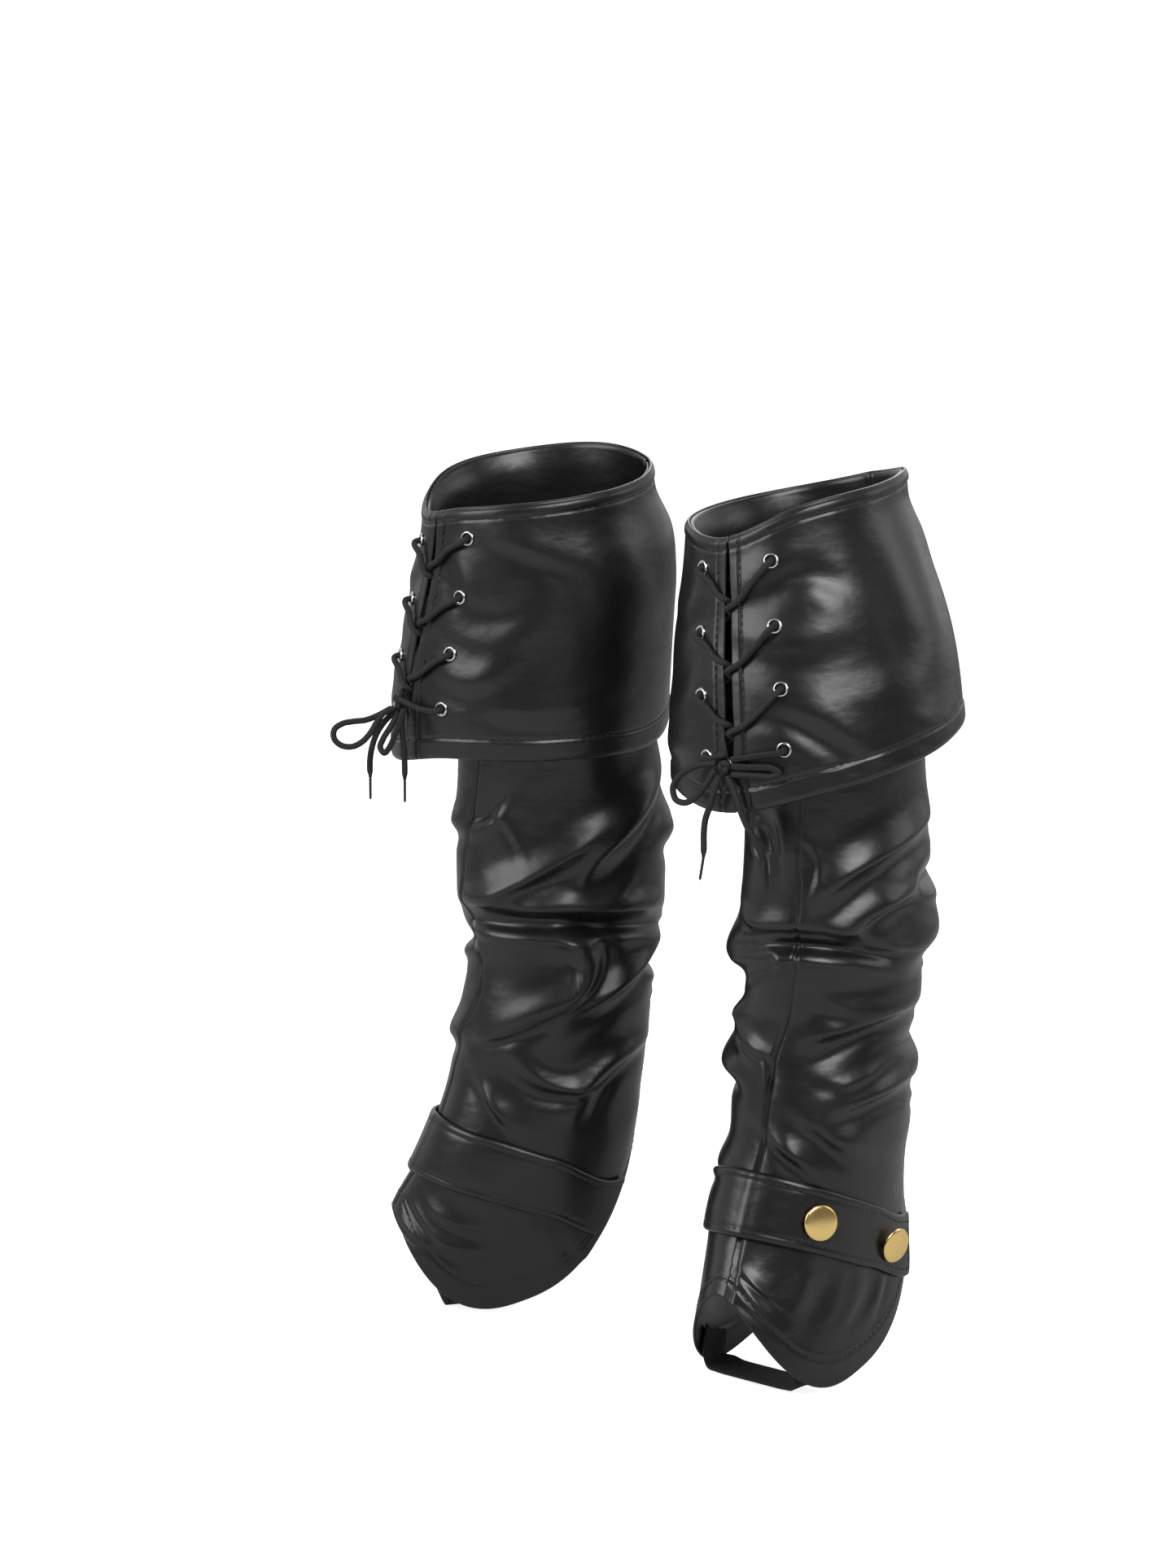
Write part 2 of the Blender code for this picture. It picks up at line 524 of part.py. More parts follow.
def turn_about_z(thing, steps):
    turning = thing.modifiers.new("turn", "SCREW")
    turning.steps = turning.render_steps = steps
    turning.use_merge_vertices = True
    turning.merge_threshold = 0.00001
    turning.use_smooth_shade = True


def eyelets(leg, group, mesh):
    for number in range(4):
        for side, word in ((1, "outer"), (-1, "inner")):
            ring = add_object(f"{leg}_eyelet_{word}_{number + 1}", mesh, "nickel", group)
            ring.matrix_world = frame_at(leg, *eyelet_seat(leg, side, number))
            turn_about_z(ring, EYELET_STEPS)


def strap_middle(leg, degrees):
    return float(curve_through(STRAP_LINE, degrees)[0 if leg == "left" else 1])


def strap_columns(leg, across):
    """Panel and share of its width for each column of the strap, from the inner end outward."""
    (in_top, in_low), (out_top, out_low) = STRAP_ENDS[leg]
    inner_end = share_at(leg, -1, in_top + (in_low - in_top) * across)
    outer_end = share_at(leg, 1, out_top + (out_low - out_top) * across)
    shares = np.arange(PANEL_COLUMNS) / PANEL_COLUMNS
    inner = shares[(shares > 0) & (shares < share_at(leg, -1, in_top).min() - 0.02)][::-1]
    outer = shares[shares < share_at(leg, 1, out_low).min() - 0.02]
    crowded = [np.minimum(s, inner_end - 0.012 * (k + 1)) for k, s in enumerate(inner)]
    return ([(-1, inner_end)] + [(-1, s) for s in crowded] + [(1, s) for s in outer]
            + [(1, outer_end)])


def strap_piece(leg, group):
    """Band laid on the panels: its columns are theirs, so that the flat cells never cross."""
    grids = ([], [])
    for across in np.linspace(0, 1, STRAP_ROWS + 1):
        lines = ([], [])
        for side, share in strap_columns(leg, across):
            turn, _ = panel_grid(leg, side)
            low, high = turn[STRAP_ROW, 0], turn[STRAP_ROW, -1]
            degrees = math.degrees(low + (high - low) * np.broadcast_to(share, len(turn))[STRAP_ROW])
            height = strap_middle(leg, degrees) + STRAP_HALF_WIDTH * (1 - 2 * across)
            point, normal = on_panel(leg, side, share, height)
            lines[0].append(point + normal * (STRAP_SEAT + WALL))
            lines[1].append(point + normal * STRAP_SEAT)
        grids[0].append(lines[0])
        grids[1].append(lines[1])
    add_sheet(leg, leg + "_ankle_strap", np.array(grids[0]), np.array(grids[1]), "vinyl", group)


def buttons(leg, group, mesh):
    for number, degrees in enumerate(BUTTON_TURNS):
        height = strap_middle(leg, degrees) - 0.0005
        point, normal = on_panel(leg, 1, share_at(leg, 1, degrees), height)
        word = ("front", "rear")[number]
        button = add_object(f"{leg}_button_{word}", mesh, "gold", group)
        tilt = math.radians(BUTTON_TILT[leg][number])
        seat = STRAP_SEAT + WALL + GAP + SHANK_RADIUS * abs(math.sin(tilt))
        frame = frame_at(leg, point + normal * seat, normal)
        button.matrix_world = frame @ Matrix.Rotation(tilt, 4, "Y")
        turn_about_z(button, BUTTON_STEPS)


def elastic_piece(leg, group):
    """Band from inside one lower edge, under the arch of the foot, to inside the other."""
    grids = ([], [])
    for degrees, reach in ELASTIC_EDGES:
        hem = shaft(leg, np.array([math.radians(degrees)]), np.ones(1))[0, 2]
        points, inward = [], []
        for height in (hem + 0.0150, hem + 0.0080, max(hem + 0.0010, 0.0060)):
            for side in (-1, 1):
                share = share_at(leg, side, side * degrees)
                point, normal = on_panel(leg, side, share, height)
                points.append(point - normal * (WALL + 2 * GAP))
                inward.append(-normal)
        for out, up in ((0.0310, 0.0045), (0.0240, 0.0030), (0.0120, 0.0028)):
            for side in (-1, 1):
                points.append(np.array([side * out, reach, up]))
                inward.append(np.array([-side * (0.7 if out > 0.03 else 0.2), 0, 1.0]))
        points.append(np.array([0, reach, 0.0028]))
        inward.append(np.array([0, 0, 1.0]))
        order = [0, 2, 4, 6, 8, 10, 12, 11, 9, 7, 5, 3, 1]
        way = np.array([v / np.linalg.norm(v) for v in inward])
        grids[0].append(np.array(points)[order])
        grids[1].append((np.array(points) + way * ELASTIC_WALL)[order])
    add_sheet(leg, leg + "_foot_elastic", np.array(grids[0]), np.array(grids[1]), "elastic", group)


def smooth_path(points, count):
    """Evenly spaced points on a smooth curve through a few chosen ones."""
    p = np.asarray(points, float)
    length = np.concatenate([[0], np.cumsum(np.linalg.norm(np.diff(p, axis=0), axis=1))])
    fine = np.linspace(0, length[-1], 400)
    dense = curve_through(np.column_stack([length, p]), fine)
    run = np.concatenate([[0], np.cumsum(np.linalg.norm(np.diff(dense, axis=0), axis=1))])
    even = np.linspace(0, run[-1], count)
    return np.stack([np.interp(even, run, dense[:, i]) for i in range(3)], -1)


def close_path(points, longest):
    """Points on a smooth curve through the chosen ones, with one more in each long stretch."""
    p = np.asarray(points, float)
    length = np.concatenate([[0], np.cumsum(np.linalg.norm(np.diff(p, axis=0), axis=1))])
    at = [length[0]]
    for low, high in zip(length[:-1], length[1:]):
        if high - low > longest:
            at.append((low + high) / 2)
        at.append(high)
    return curve_through(np.column_stack([length, p]), np.array(at))


def add_tube(leg, name, points, radius, look, group, turns=2):
    """Round cord along points in the leg frame."""
    data = bpy.data.curves.new(name, "CURVE")
    data.dimensions = "3D"
    data.bevel_depth = radius
    data.bevel_resolution = turns
    data.use_fill_caps = True
    line = data.splines.new("POLY")
    world = stand(leg, points)
    line.points.add(len(world) - 1)
    for point, place in zip(line.points, world):
        point.co = (*place, 1)
    return add_object(name, data, look, group)


def meet_knot(leg, points):
    """Lengthen or shorten a cord along its last stretch until its end face meets the knot."""
    way = points[-1] - points[-2]
    way = way / np.linalg.norm(way)
    across = np.cross(way, [0.3, 0.1, 1.0])
    across /= np.linalg.norm(across)
    angle = np.linspace(0, 2 * math.pi, 13)[:, None]
    rim = LACE_RADIUS * (np.cos(angle) * across + np.sin(angle) * np.cross(way, across))
    face = np.concatenate([rim, rim * 0]) - np.array(KNOT[leg]) / 1000
    end = points[-1] - way * 0.003
    for _ in range(90):
        scaled = np.linalg.norm((end + face) / KNOT_AXES, axis=1)
        clear = np.linalg.norm(end + face, axis=1) * (1 - 1 / scaled)
        if clear.min() < 0.00045:
            break
        end = end + way * 0.0001
    return np.concatenate([points[:-1], [end]])


def lacing_route(leg):
    """The lace from the knot up through the eyelets, across the top and back to the knot."""
    front = LACE_RADIUS + 0.0008
    behind = -(WALL + LACE_RADIUS + 0.0010)

    def place(arc, down, distance):
        middle = slit_turn(leg, down)
        turn = middle + arc / 0.078
        return off_surface(cuff, leg, turn, np.float64(down), np.float64(distance))

    def hole(side, number, distance, drop=0.0):
        point, normal = eyelet_seat(leg, side, number)
        return point + normal * distance - np.array([0, 0, drop])

    def half(side):
        """From behind the top pair down to the knot, starting on one side."""
        route = [hole(side, 0, -0.0040), hole(side, 0, 0.0)]
        for k in range(3):
            (here, arc), (after, next_arc) = EYELETS[leg, side][k], EYELETS[leg, -side][k + 1]
            dip = (here + after) / 2 + side * 0.0165 + 0.004
            route += [
                hole(side, k, 0.0034, 0.0010),
                place(side * arc * 0.66, here + 0.42 * (dip - here), front),
                place(side * arc * 0.30, here + 0.80 * (dip - here), front),
                place(side * 0.0010, dip - 0.006, front - 0.0004),
                place(side * 0.0002, dip, -WALL / 2),
                place(-side * 0.0010, dip + 0.006, behind + 0.0004),
                place(-side * next_arc * 0.34, dip + 0.25 * (after - dip), behind),
                place(-side * next_arc * 0.68, after - 0.030, behind - 0.0004),
                hole(-side, k + 1, -0.0038),
                hole(-side, k + 1, 0.0),
            ]
            side = -side
        join = np.array(KNOT[leg]) / 1000 + np.array([side * 0.0062, -0.0012, 0.0048])
        down, arc = EYELETS[leg, side][3]
        route += [hole(side, 3, 0.0034, 0.0006), place(side * arc * 0.62, down, front + 0.0004), join]
        return route

    top = EYELETS[leg, 1][0][0]
    middle = [place(0.0075, top, behind - 0.0008), place(-0.0075, top, behind - 0.0008)]
    return half(1)[::-1] + middle + half(-1)


def lace_pieces(leg, group):
    route = meet_knot(leg, meet_knot(leg, np.array(lacing_route(leg)))[::-1])
    add_tube(leg, leg + "_lacing", close_path(route, 0.0115), LACE_RADIUS, "lace", group)
    knot = bpy.data.meshes.new(leg + "_knot")
    work = bmesh.new()
    bmesh.ops.create_icosphere(work, subdivisions=2, radius=1.0)
    work.to_mesh(knot)
    work.free()
    points = np.array([v.co[:] for v in knot.vertices]) * KNOT_AXES
    centre = np.array(KNOT[leg]) / 1000
    for vertex, place in zip(knot.vertices, stand(leg, points + centre)):
        vertex.co = place
    fix_winding(knot)
    knot.shade_smooth()
    add_object(leg + "_knot", knot, "lace", group)
    for letter, loop in zip("ab", LOOPS[leg]):
        points = meet_knot(leg, meet_knot(leg, np.array(loop) / 1000)[::-1])[::-1]
        add_tube(leg, f"{leg}_loop_{letter}", smooth_path(points, 14), LACE_RADIUS, "lace", group)
    for letter, tail, lean in zip("ab", TAILS[leg], AGLET_LEAN[leg]):
        path = smooth_path(meet_knot(leg, np.array(tail)[::-1] / 1000)[::-1], 8)
        add_tube(leg, f"{leg}_tail_{letter}", path, LACE_RADIUS, "lace", group)
        way = np.array(lean) / np.linalg.norm(lean)
        start = path[-1] + way * GAP
        add_tube(leg, f"{leg}_aglet_{letter}", np.array([start, start + way * AGLET_LENGTH]),
                 AGLET_RADIUS, "aglet", group)


def fix_winding(mesh):
    work = bmesh.new()
    work.from_mesh(mesh)
    bmesh.ops.recalc_face_normals(work, faces=work.faces)
    work.to_mesh(mesh)
    work.free()


def main():
    clear_scene()
    covers = make_collection("boot covers")
    cutters = make_collection("cutters")
    eyelet = turned_mesh("eyelet", ((2.25, 0.95), (3.25, 1.30), (4.25, 0.45), (2.75, 0.45),
                                    (2.45, -1.90)), "nickel", True)
    button = turned_mesh("button", ((0, 5.6), (6.5, 5.2), (9.3, 4.3), (10.0, 3.5), (9.3, 2.8),
                                    (2.6, 2.8), (2.6, 0.0), (0, 0.0)), "gold", False)
    for leg in STANCE:
        panel(leg, 1, covers)
        panel(leg, -1, covers)
        cuff_piece(leg, covers, cutters)
        strap_piece(leg, covers)
        elastic_piece(leg, covers)
        eyelets(leg, covers, eyelet)
        buttons(leg, covers, button)
        lace_pieces(leg, covers)


main()
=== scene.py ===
import math

import bpy
import numpy as np
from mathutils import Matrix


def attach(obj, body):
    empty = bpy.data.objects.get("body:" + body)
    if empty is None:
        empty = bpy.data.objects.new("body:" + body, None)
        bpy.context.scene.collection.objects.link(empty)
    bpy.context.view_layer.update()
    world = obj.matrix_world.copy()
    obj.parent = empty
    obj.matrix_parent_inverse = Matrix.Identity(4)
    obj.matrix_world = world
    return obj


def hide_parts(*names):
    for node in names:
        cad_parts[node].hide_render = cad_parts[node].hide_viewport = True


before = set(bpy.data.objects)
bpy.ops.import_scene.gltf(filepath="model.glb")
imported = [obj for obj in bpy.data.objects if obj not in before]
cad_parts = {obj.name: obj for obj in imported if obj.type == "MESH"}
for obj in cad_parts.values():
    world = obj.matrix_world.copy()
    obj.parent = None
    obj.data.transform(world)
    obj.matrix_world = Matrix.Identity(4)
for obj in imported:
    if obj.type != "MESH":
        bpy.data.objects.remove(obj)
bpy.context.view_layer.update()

# %% [markdown]
# # A pair of slouchy boot covers
# A boot cover is a soft shaft, open at the top and under the foot, that gives the look of a
# tall boot. Each one here is cut from glossy black faux leather: two long panels joined at the
# front and the back, a wide cuff turned down at the top and laced in front, a strap with two
# buttons round the ankle, and an elastic under the foot. The solids that were packed carry the
# sizes. This lesson puts a finished surface over each of them.
#
# The camera comes first, because every fold is judged from where the picture was taken. It
# stands a little above the covers' top edges, 2.4 m away, and looks slightly down.

# %% The camera
CAMERA_AZIMUTH = 59.0        # degrees from straight ahead toward the left side
CAMERA_DISTANCE = 2.3832
CAMERA_HEIGHT = 0.2372       # above the origin
CAMERA_YAW, CAMERA_PITCH = 1.2836, -9.6479
LENS_MM, SENSOR_MM = 98.4, 36.0

azimuth = math.radians(CAMERA_AZIMUTH)
toward = np.array([math.sin(azimuth), -math.cos(azimuth), 0.0])
camera_data = bpy.data.cameras.new("studio_camera")
camera_data.lens, camera_data.sensor_height = LENS_MM, SENSOR_MM
camera_data.sensor_fit = "VERTICAL"
camera = bpy.data.objects.new("studio_camera", camera_data)
bpy.context.scene.collection.objects.link(camera)
camera.location = toward * CAMERA_DISTANCE + [0, 0, CAMERA_HEIGHT]
camera.rotation_euler = (math.radians(90 + CAMERA_PITCH), 0, azimuth + math.radians(CAMERA_YAW))
bpy.context.scene.camera = camera
print("camera at", np.round(camera.location, 3))

# %% [markdown]
# ## The stance and the shape of a leg
# Each cover is described in its own leg frame: how far out from the other leg, how far ahead
# the way the spat points, and how high above the floor. The tables below are the same ones that
# shape the solids, so the fine surfaces land on them. Angle 0 is straight ahead and the angle
# grows toward the outer side.

# %% Sizes, and where the two covers stand
HOLD_HEIGHT = 0.484          # origin above the floor
WALL = 0.0015                # thickness of the faux leather with its backing
SEAM_GAP = 0.0002            # the panels' edges nearly meet along the seams
LACE_RADIUS = 0.00175
STRAP_HALF_WIDTH = 0.0165
FOLD_RADIUS = 0.055          # turns an angle on the leg into a length
SAG = 0.35                   # share of a fold's height by which it also hangs lower
BESIDE = 0.002               # step in the way down, and in radians, that a normal is taken over
FOLDS_BELOW = (0.352, 0.334)     # heights between which the folds start, under the cuff
FOLDS_ABOVE = (0.85, 0.77)       # ways down between which they end, above the lower edge
FLAT_FOLD, SHARP_FOLD = (2.0, 0.9), (1.6, 1.4)   # powers of a fold's crest and of its fade
STANCE = {"left": (1, 0.0973, 0.0343, 18.5), "right": (-1, -0.0973, -0.0343, 20.3)}


def stand(leg, points):
    """World place = ground place + out times the out axis + ahead times the ahead axis + up."""
    side, x, y, turned_out = STANCE[leg]
    a = math.radians(turned_out)
    axes = np.array([[side * math.cos(a), math.sin(a), 0], [side * math.sin(a), -math.cos(a), 0],
                     [0, 0, 1]])
    return np.asarray(points) @ axes + [x, y, -HOLD_HEIGHT]


def curve_through(table, at):
    """Cubic Hermite curve through a table's rows, with slopes from the rows beside each one."""
    rows = np.asarray(table, float)
    rows = rows[::-1] if rows[0, 0] > rows[-1, 0] else rows
    x, y = rows[:, 0], rows[:, 1:]
    slope = np.gradient(y, x, axis=0)
    at = np.clip(np.asarray(at, float), x[0], x[-1])
    k = np.clip(np.searchsorted(x, at) - 1, 0, len(x) - 2)
    step = (x[k + 1] - x[k])[..., None]
    s = (at - x[k])[..., None] / step
    return ((1 + 2 * s) * (1 - s) ** 2 * y[k] + s * (1 - s) ** 2 * step * slope[k]
            + s * s * (3 - 2 * s) * y[k + 1] + s * s * (s - 1) * step * slope[k + 1])


def smooth_step(low, high, x):
    """0 below low, 1 above high, and 3t squared - 2t cubed between them."""
    t = np.clip((x - low) / (high - low), 0, 1)
    return t * t * (3 - 2 * t)


def bump_at(x, width):
    """Bell curve: e to the power of minus (x over width) squared."""
    return np.exp(-(x / width) ** 2)


def wrapped(degrees):
    """The same angle between -180 and 180 degrees."""
    return (degrees + 180.0) % 360.0 - 180.0


def unit(vectors):
    """The same directions with length 1."""
    return vectors / np.linalg.norm(vectors, axis=-1, keepdims=True)


# %% Rings of the shaft and the spat, and of the cuff
# Tilted rings down the shaft and the spat. Columns: front height, front reach, back height,
# back reach, half width, shift outward and side drop in millimetres, then share of the top
# edge's curve and squareness
SHAFT_RINGS = np.array((
    (466.4, 69.8, 492.8, -56.8, 56.8, -16, 0, 1, 1),
    (456, 63.2, 479, -58.2, 52.2, -14.5, 0, 0.9, 1),
    (436, 58.5, 453, -61.5, 50, -12, 0, 0.6, 1),
    (405, 55.5, 415, -64, 48, -8, 0, 0.3, 1),
    (370, 53, 375, -64, 46, -4, 0, 0.1, 1),
    (338, 51, 340, -64, 45, -1, 0, 0, 1),
    (308, 51, 308, -67, 44, 0, 0, 0, 1),
    (280, 52, 279, -71, 45, 0, 0, 0, 1),
    (252, 52, 250, -70, 46, -1, 0, 0, 1),
    (227, 49, 225, -67, 46, -2, 0, 0, 1),
    (204, 46, 202, -62, 45, -4, 0, 0, 1),
    (181, 50, 180, -61, 44.5, -6, 0, 0, 1),
    (158, 54.2, 158, -59, 44.5, -4, 0, 0, 0.97),
    (137, 56.8, 140, -57, 43, -3, 4, 0, 0.93),
    (119, 62.2, 129, -55, 42.5, -4.5, 13, 0, 0.9),
    (101, 69.5, 121, -54, 42.5, -5, 27, 0, 0.86),
    (84, 77.2, 114, -53, 42, -3.5, 44, 0, 0.83),
    (70, 85, 108, -52, 42, -1, 60, 0, 0.81),
    (58, 91, 104, -51, 41.5, 0, 73, 0, 0.8),
)) * ([0.001] * 7 + [1, 1])
SHAFT_TABLE = np.column_stack([np.linspace(0, 1, len(SHAFT_RINGS)), SHAFT_RINGS])

# The cuff's edges. Columns: angle from straight ahead toward the outer side, top, lower edge
CUFF_EDGES = (
    (-180, 0.4940, 0.3500), (-150, 0.4870, 0.3370), (-90, 0.4770, 0.3320),
    (-45, 0.4720, 0.3310), (0, 0.4676, 0.3240), (45, 0.4870, 0.3390),
    (90, 0.4960, 0.3556), (130, 0.5000, 0.3660), (180, 0.4940, 0.3500),
)
# Columns: share of the cuff's height, front reach, back reach, half width, shift outward
CUFF_RINGS = (
    (0.00, 0.0722, -0.0592, 0.0592, -0.0160),
    (0.10, 0.0732, -0.0612, 0.0612, -0.0150),
    (0.25, 0.0765, -0.0710, 0.0665, -0.0125),
    (0.40, 0.0810, -0.0735, 0.0710, -0.0100),
    (0.60, 0.0860, -0.0730, 0.0750, -0.0060),
    (0.80, 0.0890, -0.0720, 0.0780, -0.0030),
    (1.00, 0.0890, -0.0710, 0.0795, 0.0000),
)
SLIT_TURN = {"left": (3.5, 6.0), "right": (-22.0, -22.0)}   # degrees, at the top and the bottom
# Columns: share of the cuff's height, half width of the slit
SLIT_ROWS = ((0.00, 0.0009), (0.11, 0.0022), (0.25, 0.0028), (0.60, 0.0029), (0.77, 0.0026),
             (0.84, 0.0006), (1.00, 0.0003))

# Eyelets on each side of the slit, top to bottom: share of the cuff's height, and distance
# along the cuff from the slit's centre. Key: cover, and 1 for the outer side or -1 for the inner
EYELETS = {
    ("left", 1): ((0.143, 0.0270), (0.372, 0.0285), (0.597, 0.0310), (0.812, 0.0315)),
    ("left", -1): ((0.116, 0.0190), (0.355, 0.0208), (0.580, 0.0195), (0.802, 0.0165)),
    ("right", 1): ((0.120, 0.0210), (0.353, 0.0210), (0.580, 0.0210), (0.802, 0.0210)),
    ("right", -1): ((0.120, 0.0265), (0.353, 0.0275), (0.580, 0.0290), (0.802, 0.0285)),
}

# Where the front seam runs. Columns: height, angle from straight ahead
SEAM_ROWS = {
    "left": ((0.500, 20), (0.310, 23), (0.235, 21), (0.190, 13), (0.147, 7), (0.105, 6),
             (0.050, 6)),
    "right": ((0.500, -22), (0.310, -28), (0.235, -14), (0.190, -26), (0.150, -10),
              (0.105, -5), (0.050, -2)),
}

# %% [markdown]
# ## Folds of the soft shaft
# Faux leather that is too long for the leg sinks into folds. A fold is drawn here as a bent line
# on the leg, with a ridge along it and a shallow trough under the ridge. A sculpted brush could
# do the same, but lines with sizes can be read, moved and repeated. Wide folds come first, then
# finer creases that the picture shows between them, and their like on the sides that it hides.

# %% Folds: where they run, how high and how wide
# Folds of the loose shaft, each a bent line from one place to the next on the leg.
# Columns: angle and height of its start, middle and end, then how far it stands out (negative
# sinks in) and how wide it is; all but the angles in millimetres
FOLDS = {
    "right": (
        (-176, 328, -121, 287, -84, 250, 7, 12), (-118, 300, -66, 260, -18, 246, 5, 9),
        (12, 241, -85, 242, -176, 236, 5, 8), (14, 228, -85, 229, -178, 222, -4.5, 5.5),
        (-66, 232, -98, 200, -26, 164, 6, 9), (-170, 222, -128, 198, -76, 170, 5, 9),
        (-172, 160, -118, 145, -102, 108, 4.5, 8), (-56, 160, -88, 137, -114, 147, 4, 7),
        (-40, 140, -56, 125, -74, 110, 3, 6), (-48, 302, -34, 292, -18, 287, -4, 6),
        (-28, 291, 4, 286, 36, 291, 3.5, 9), (44, 215, 10, 217, -26, 222, -5.5, 7),
        (-214, 288, -182, 282, -148, 280, 5, 12), (-204, 203, -174, 200, -146, 205, -4, 6),
        (-26, 172, 4, 164, 36, 172, 4, 10), (150, 318, 84, 296, 34, 262, 6, 12),
        (136, 274, 84, 262, 46, 248, 5, 9), (160, 236, 90, 224, 22, 232, -4, 6),
        (144, 212, 80, 204, 30, 188, 5, 10), (146, 172, 84, 166, 36, 150, 4.5, 9),
        (112, 134, 70, 142, 40, 130, 3.5, 7), (176, 300, 150, 276, 120, 292, 4, 10),
        (178, 196, 150, 186, 118, 196, 4, 9),
    ),
    "left": (
        (-44, 239, 30, 246, 92, 232, -5, 6), (-40, 251, 30, 257, 88, 245, 3, 8),
        (144, 314, 71, 297, 24, 259, 6, 11), (122, 282, 74, 270, 46, 250, 4.5, 9),
        (134, 208, 74, 207, 30, 192, 5.5, 9), (136, 167, 84, 165, 36, 151, 5.5, 9),
        (160, 187, 128, 184, 92, 188, -2.6, 7), (160, 279, 128, 274, 98, 280, -5, 7),
        (-84, 215, -50, 211, -20, 214, -4, 6), (34, 153, 56, 142, 82, 129, 3.5, 7),
        (12, 142, 24, 135, 40, 126, 3, 6), (-14, 322, -4, 306, 2, 288, -4, 9),
        (8, 320, 13, 304, 15, 284, 2.6, 6.5), (-104, 252, -56, 240, -14, 234, 8.5, 13),
        (-10, 226, -35, 200, 2, 180, 4.2, 8), (-98, 187, -52, 177, -12, 171, 7, 10),
        (-92, 134, -54, 122, -12, 120, 4, 9), (172, 256, 130, 246, 92, 240, 5.8, 14),
        (176, 180, 140, 171, 108, 178, 3, 13), (-176, 326, -126, 290, -84, 264, 6, 12),
        (-168, 224, -132, 202, -80, 192, 5, 10), (-170, 160, -122, 144, -94, 152, 4.5, 9),
        (-176, 252, -150, 238, -112, 226, -4, 7),
    ),
}

# Soft hollows pressed into the shaft and the cuff over it. Columns: angle, height, depth in
# millimetres, half width in degrees, half height in millimetres
HOLLOWS = {"left": ((128, 466.5, 7.5, 42, 40),), "right": ((-60, 410, 2.5, 30, 30),)}

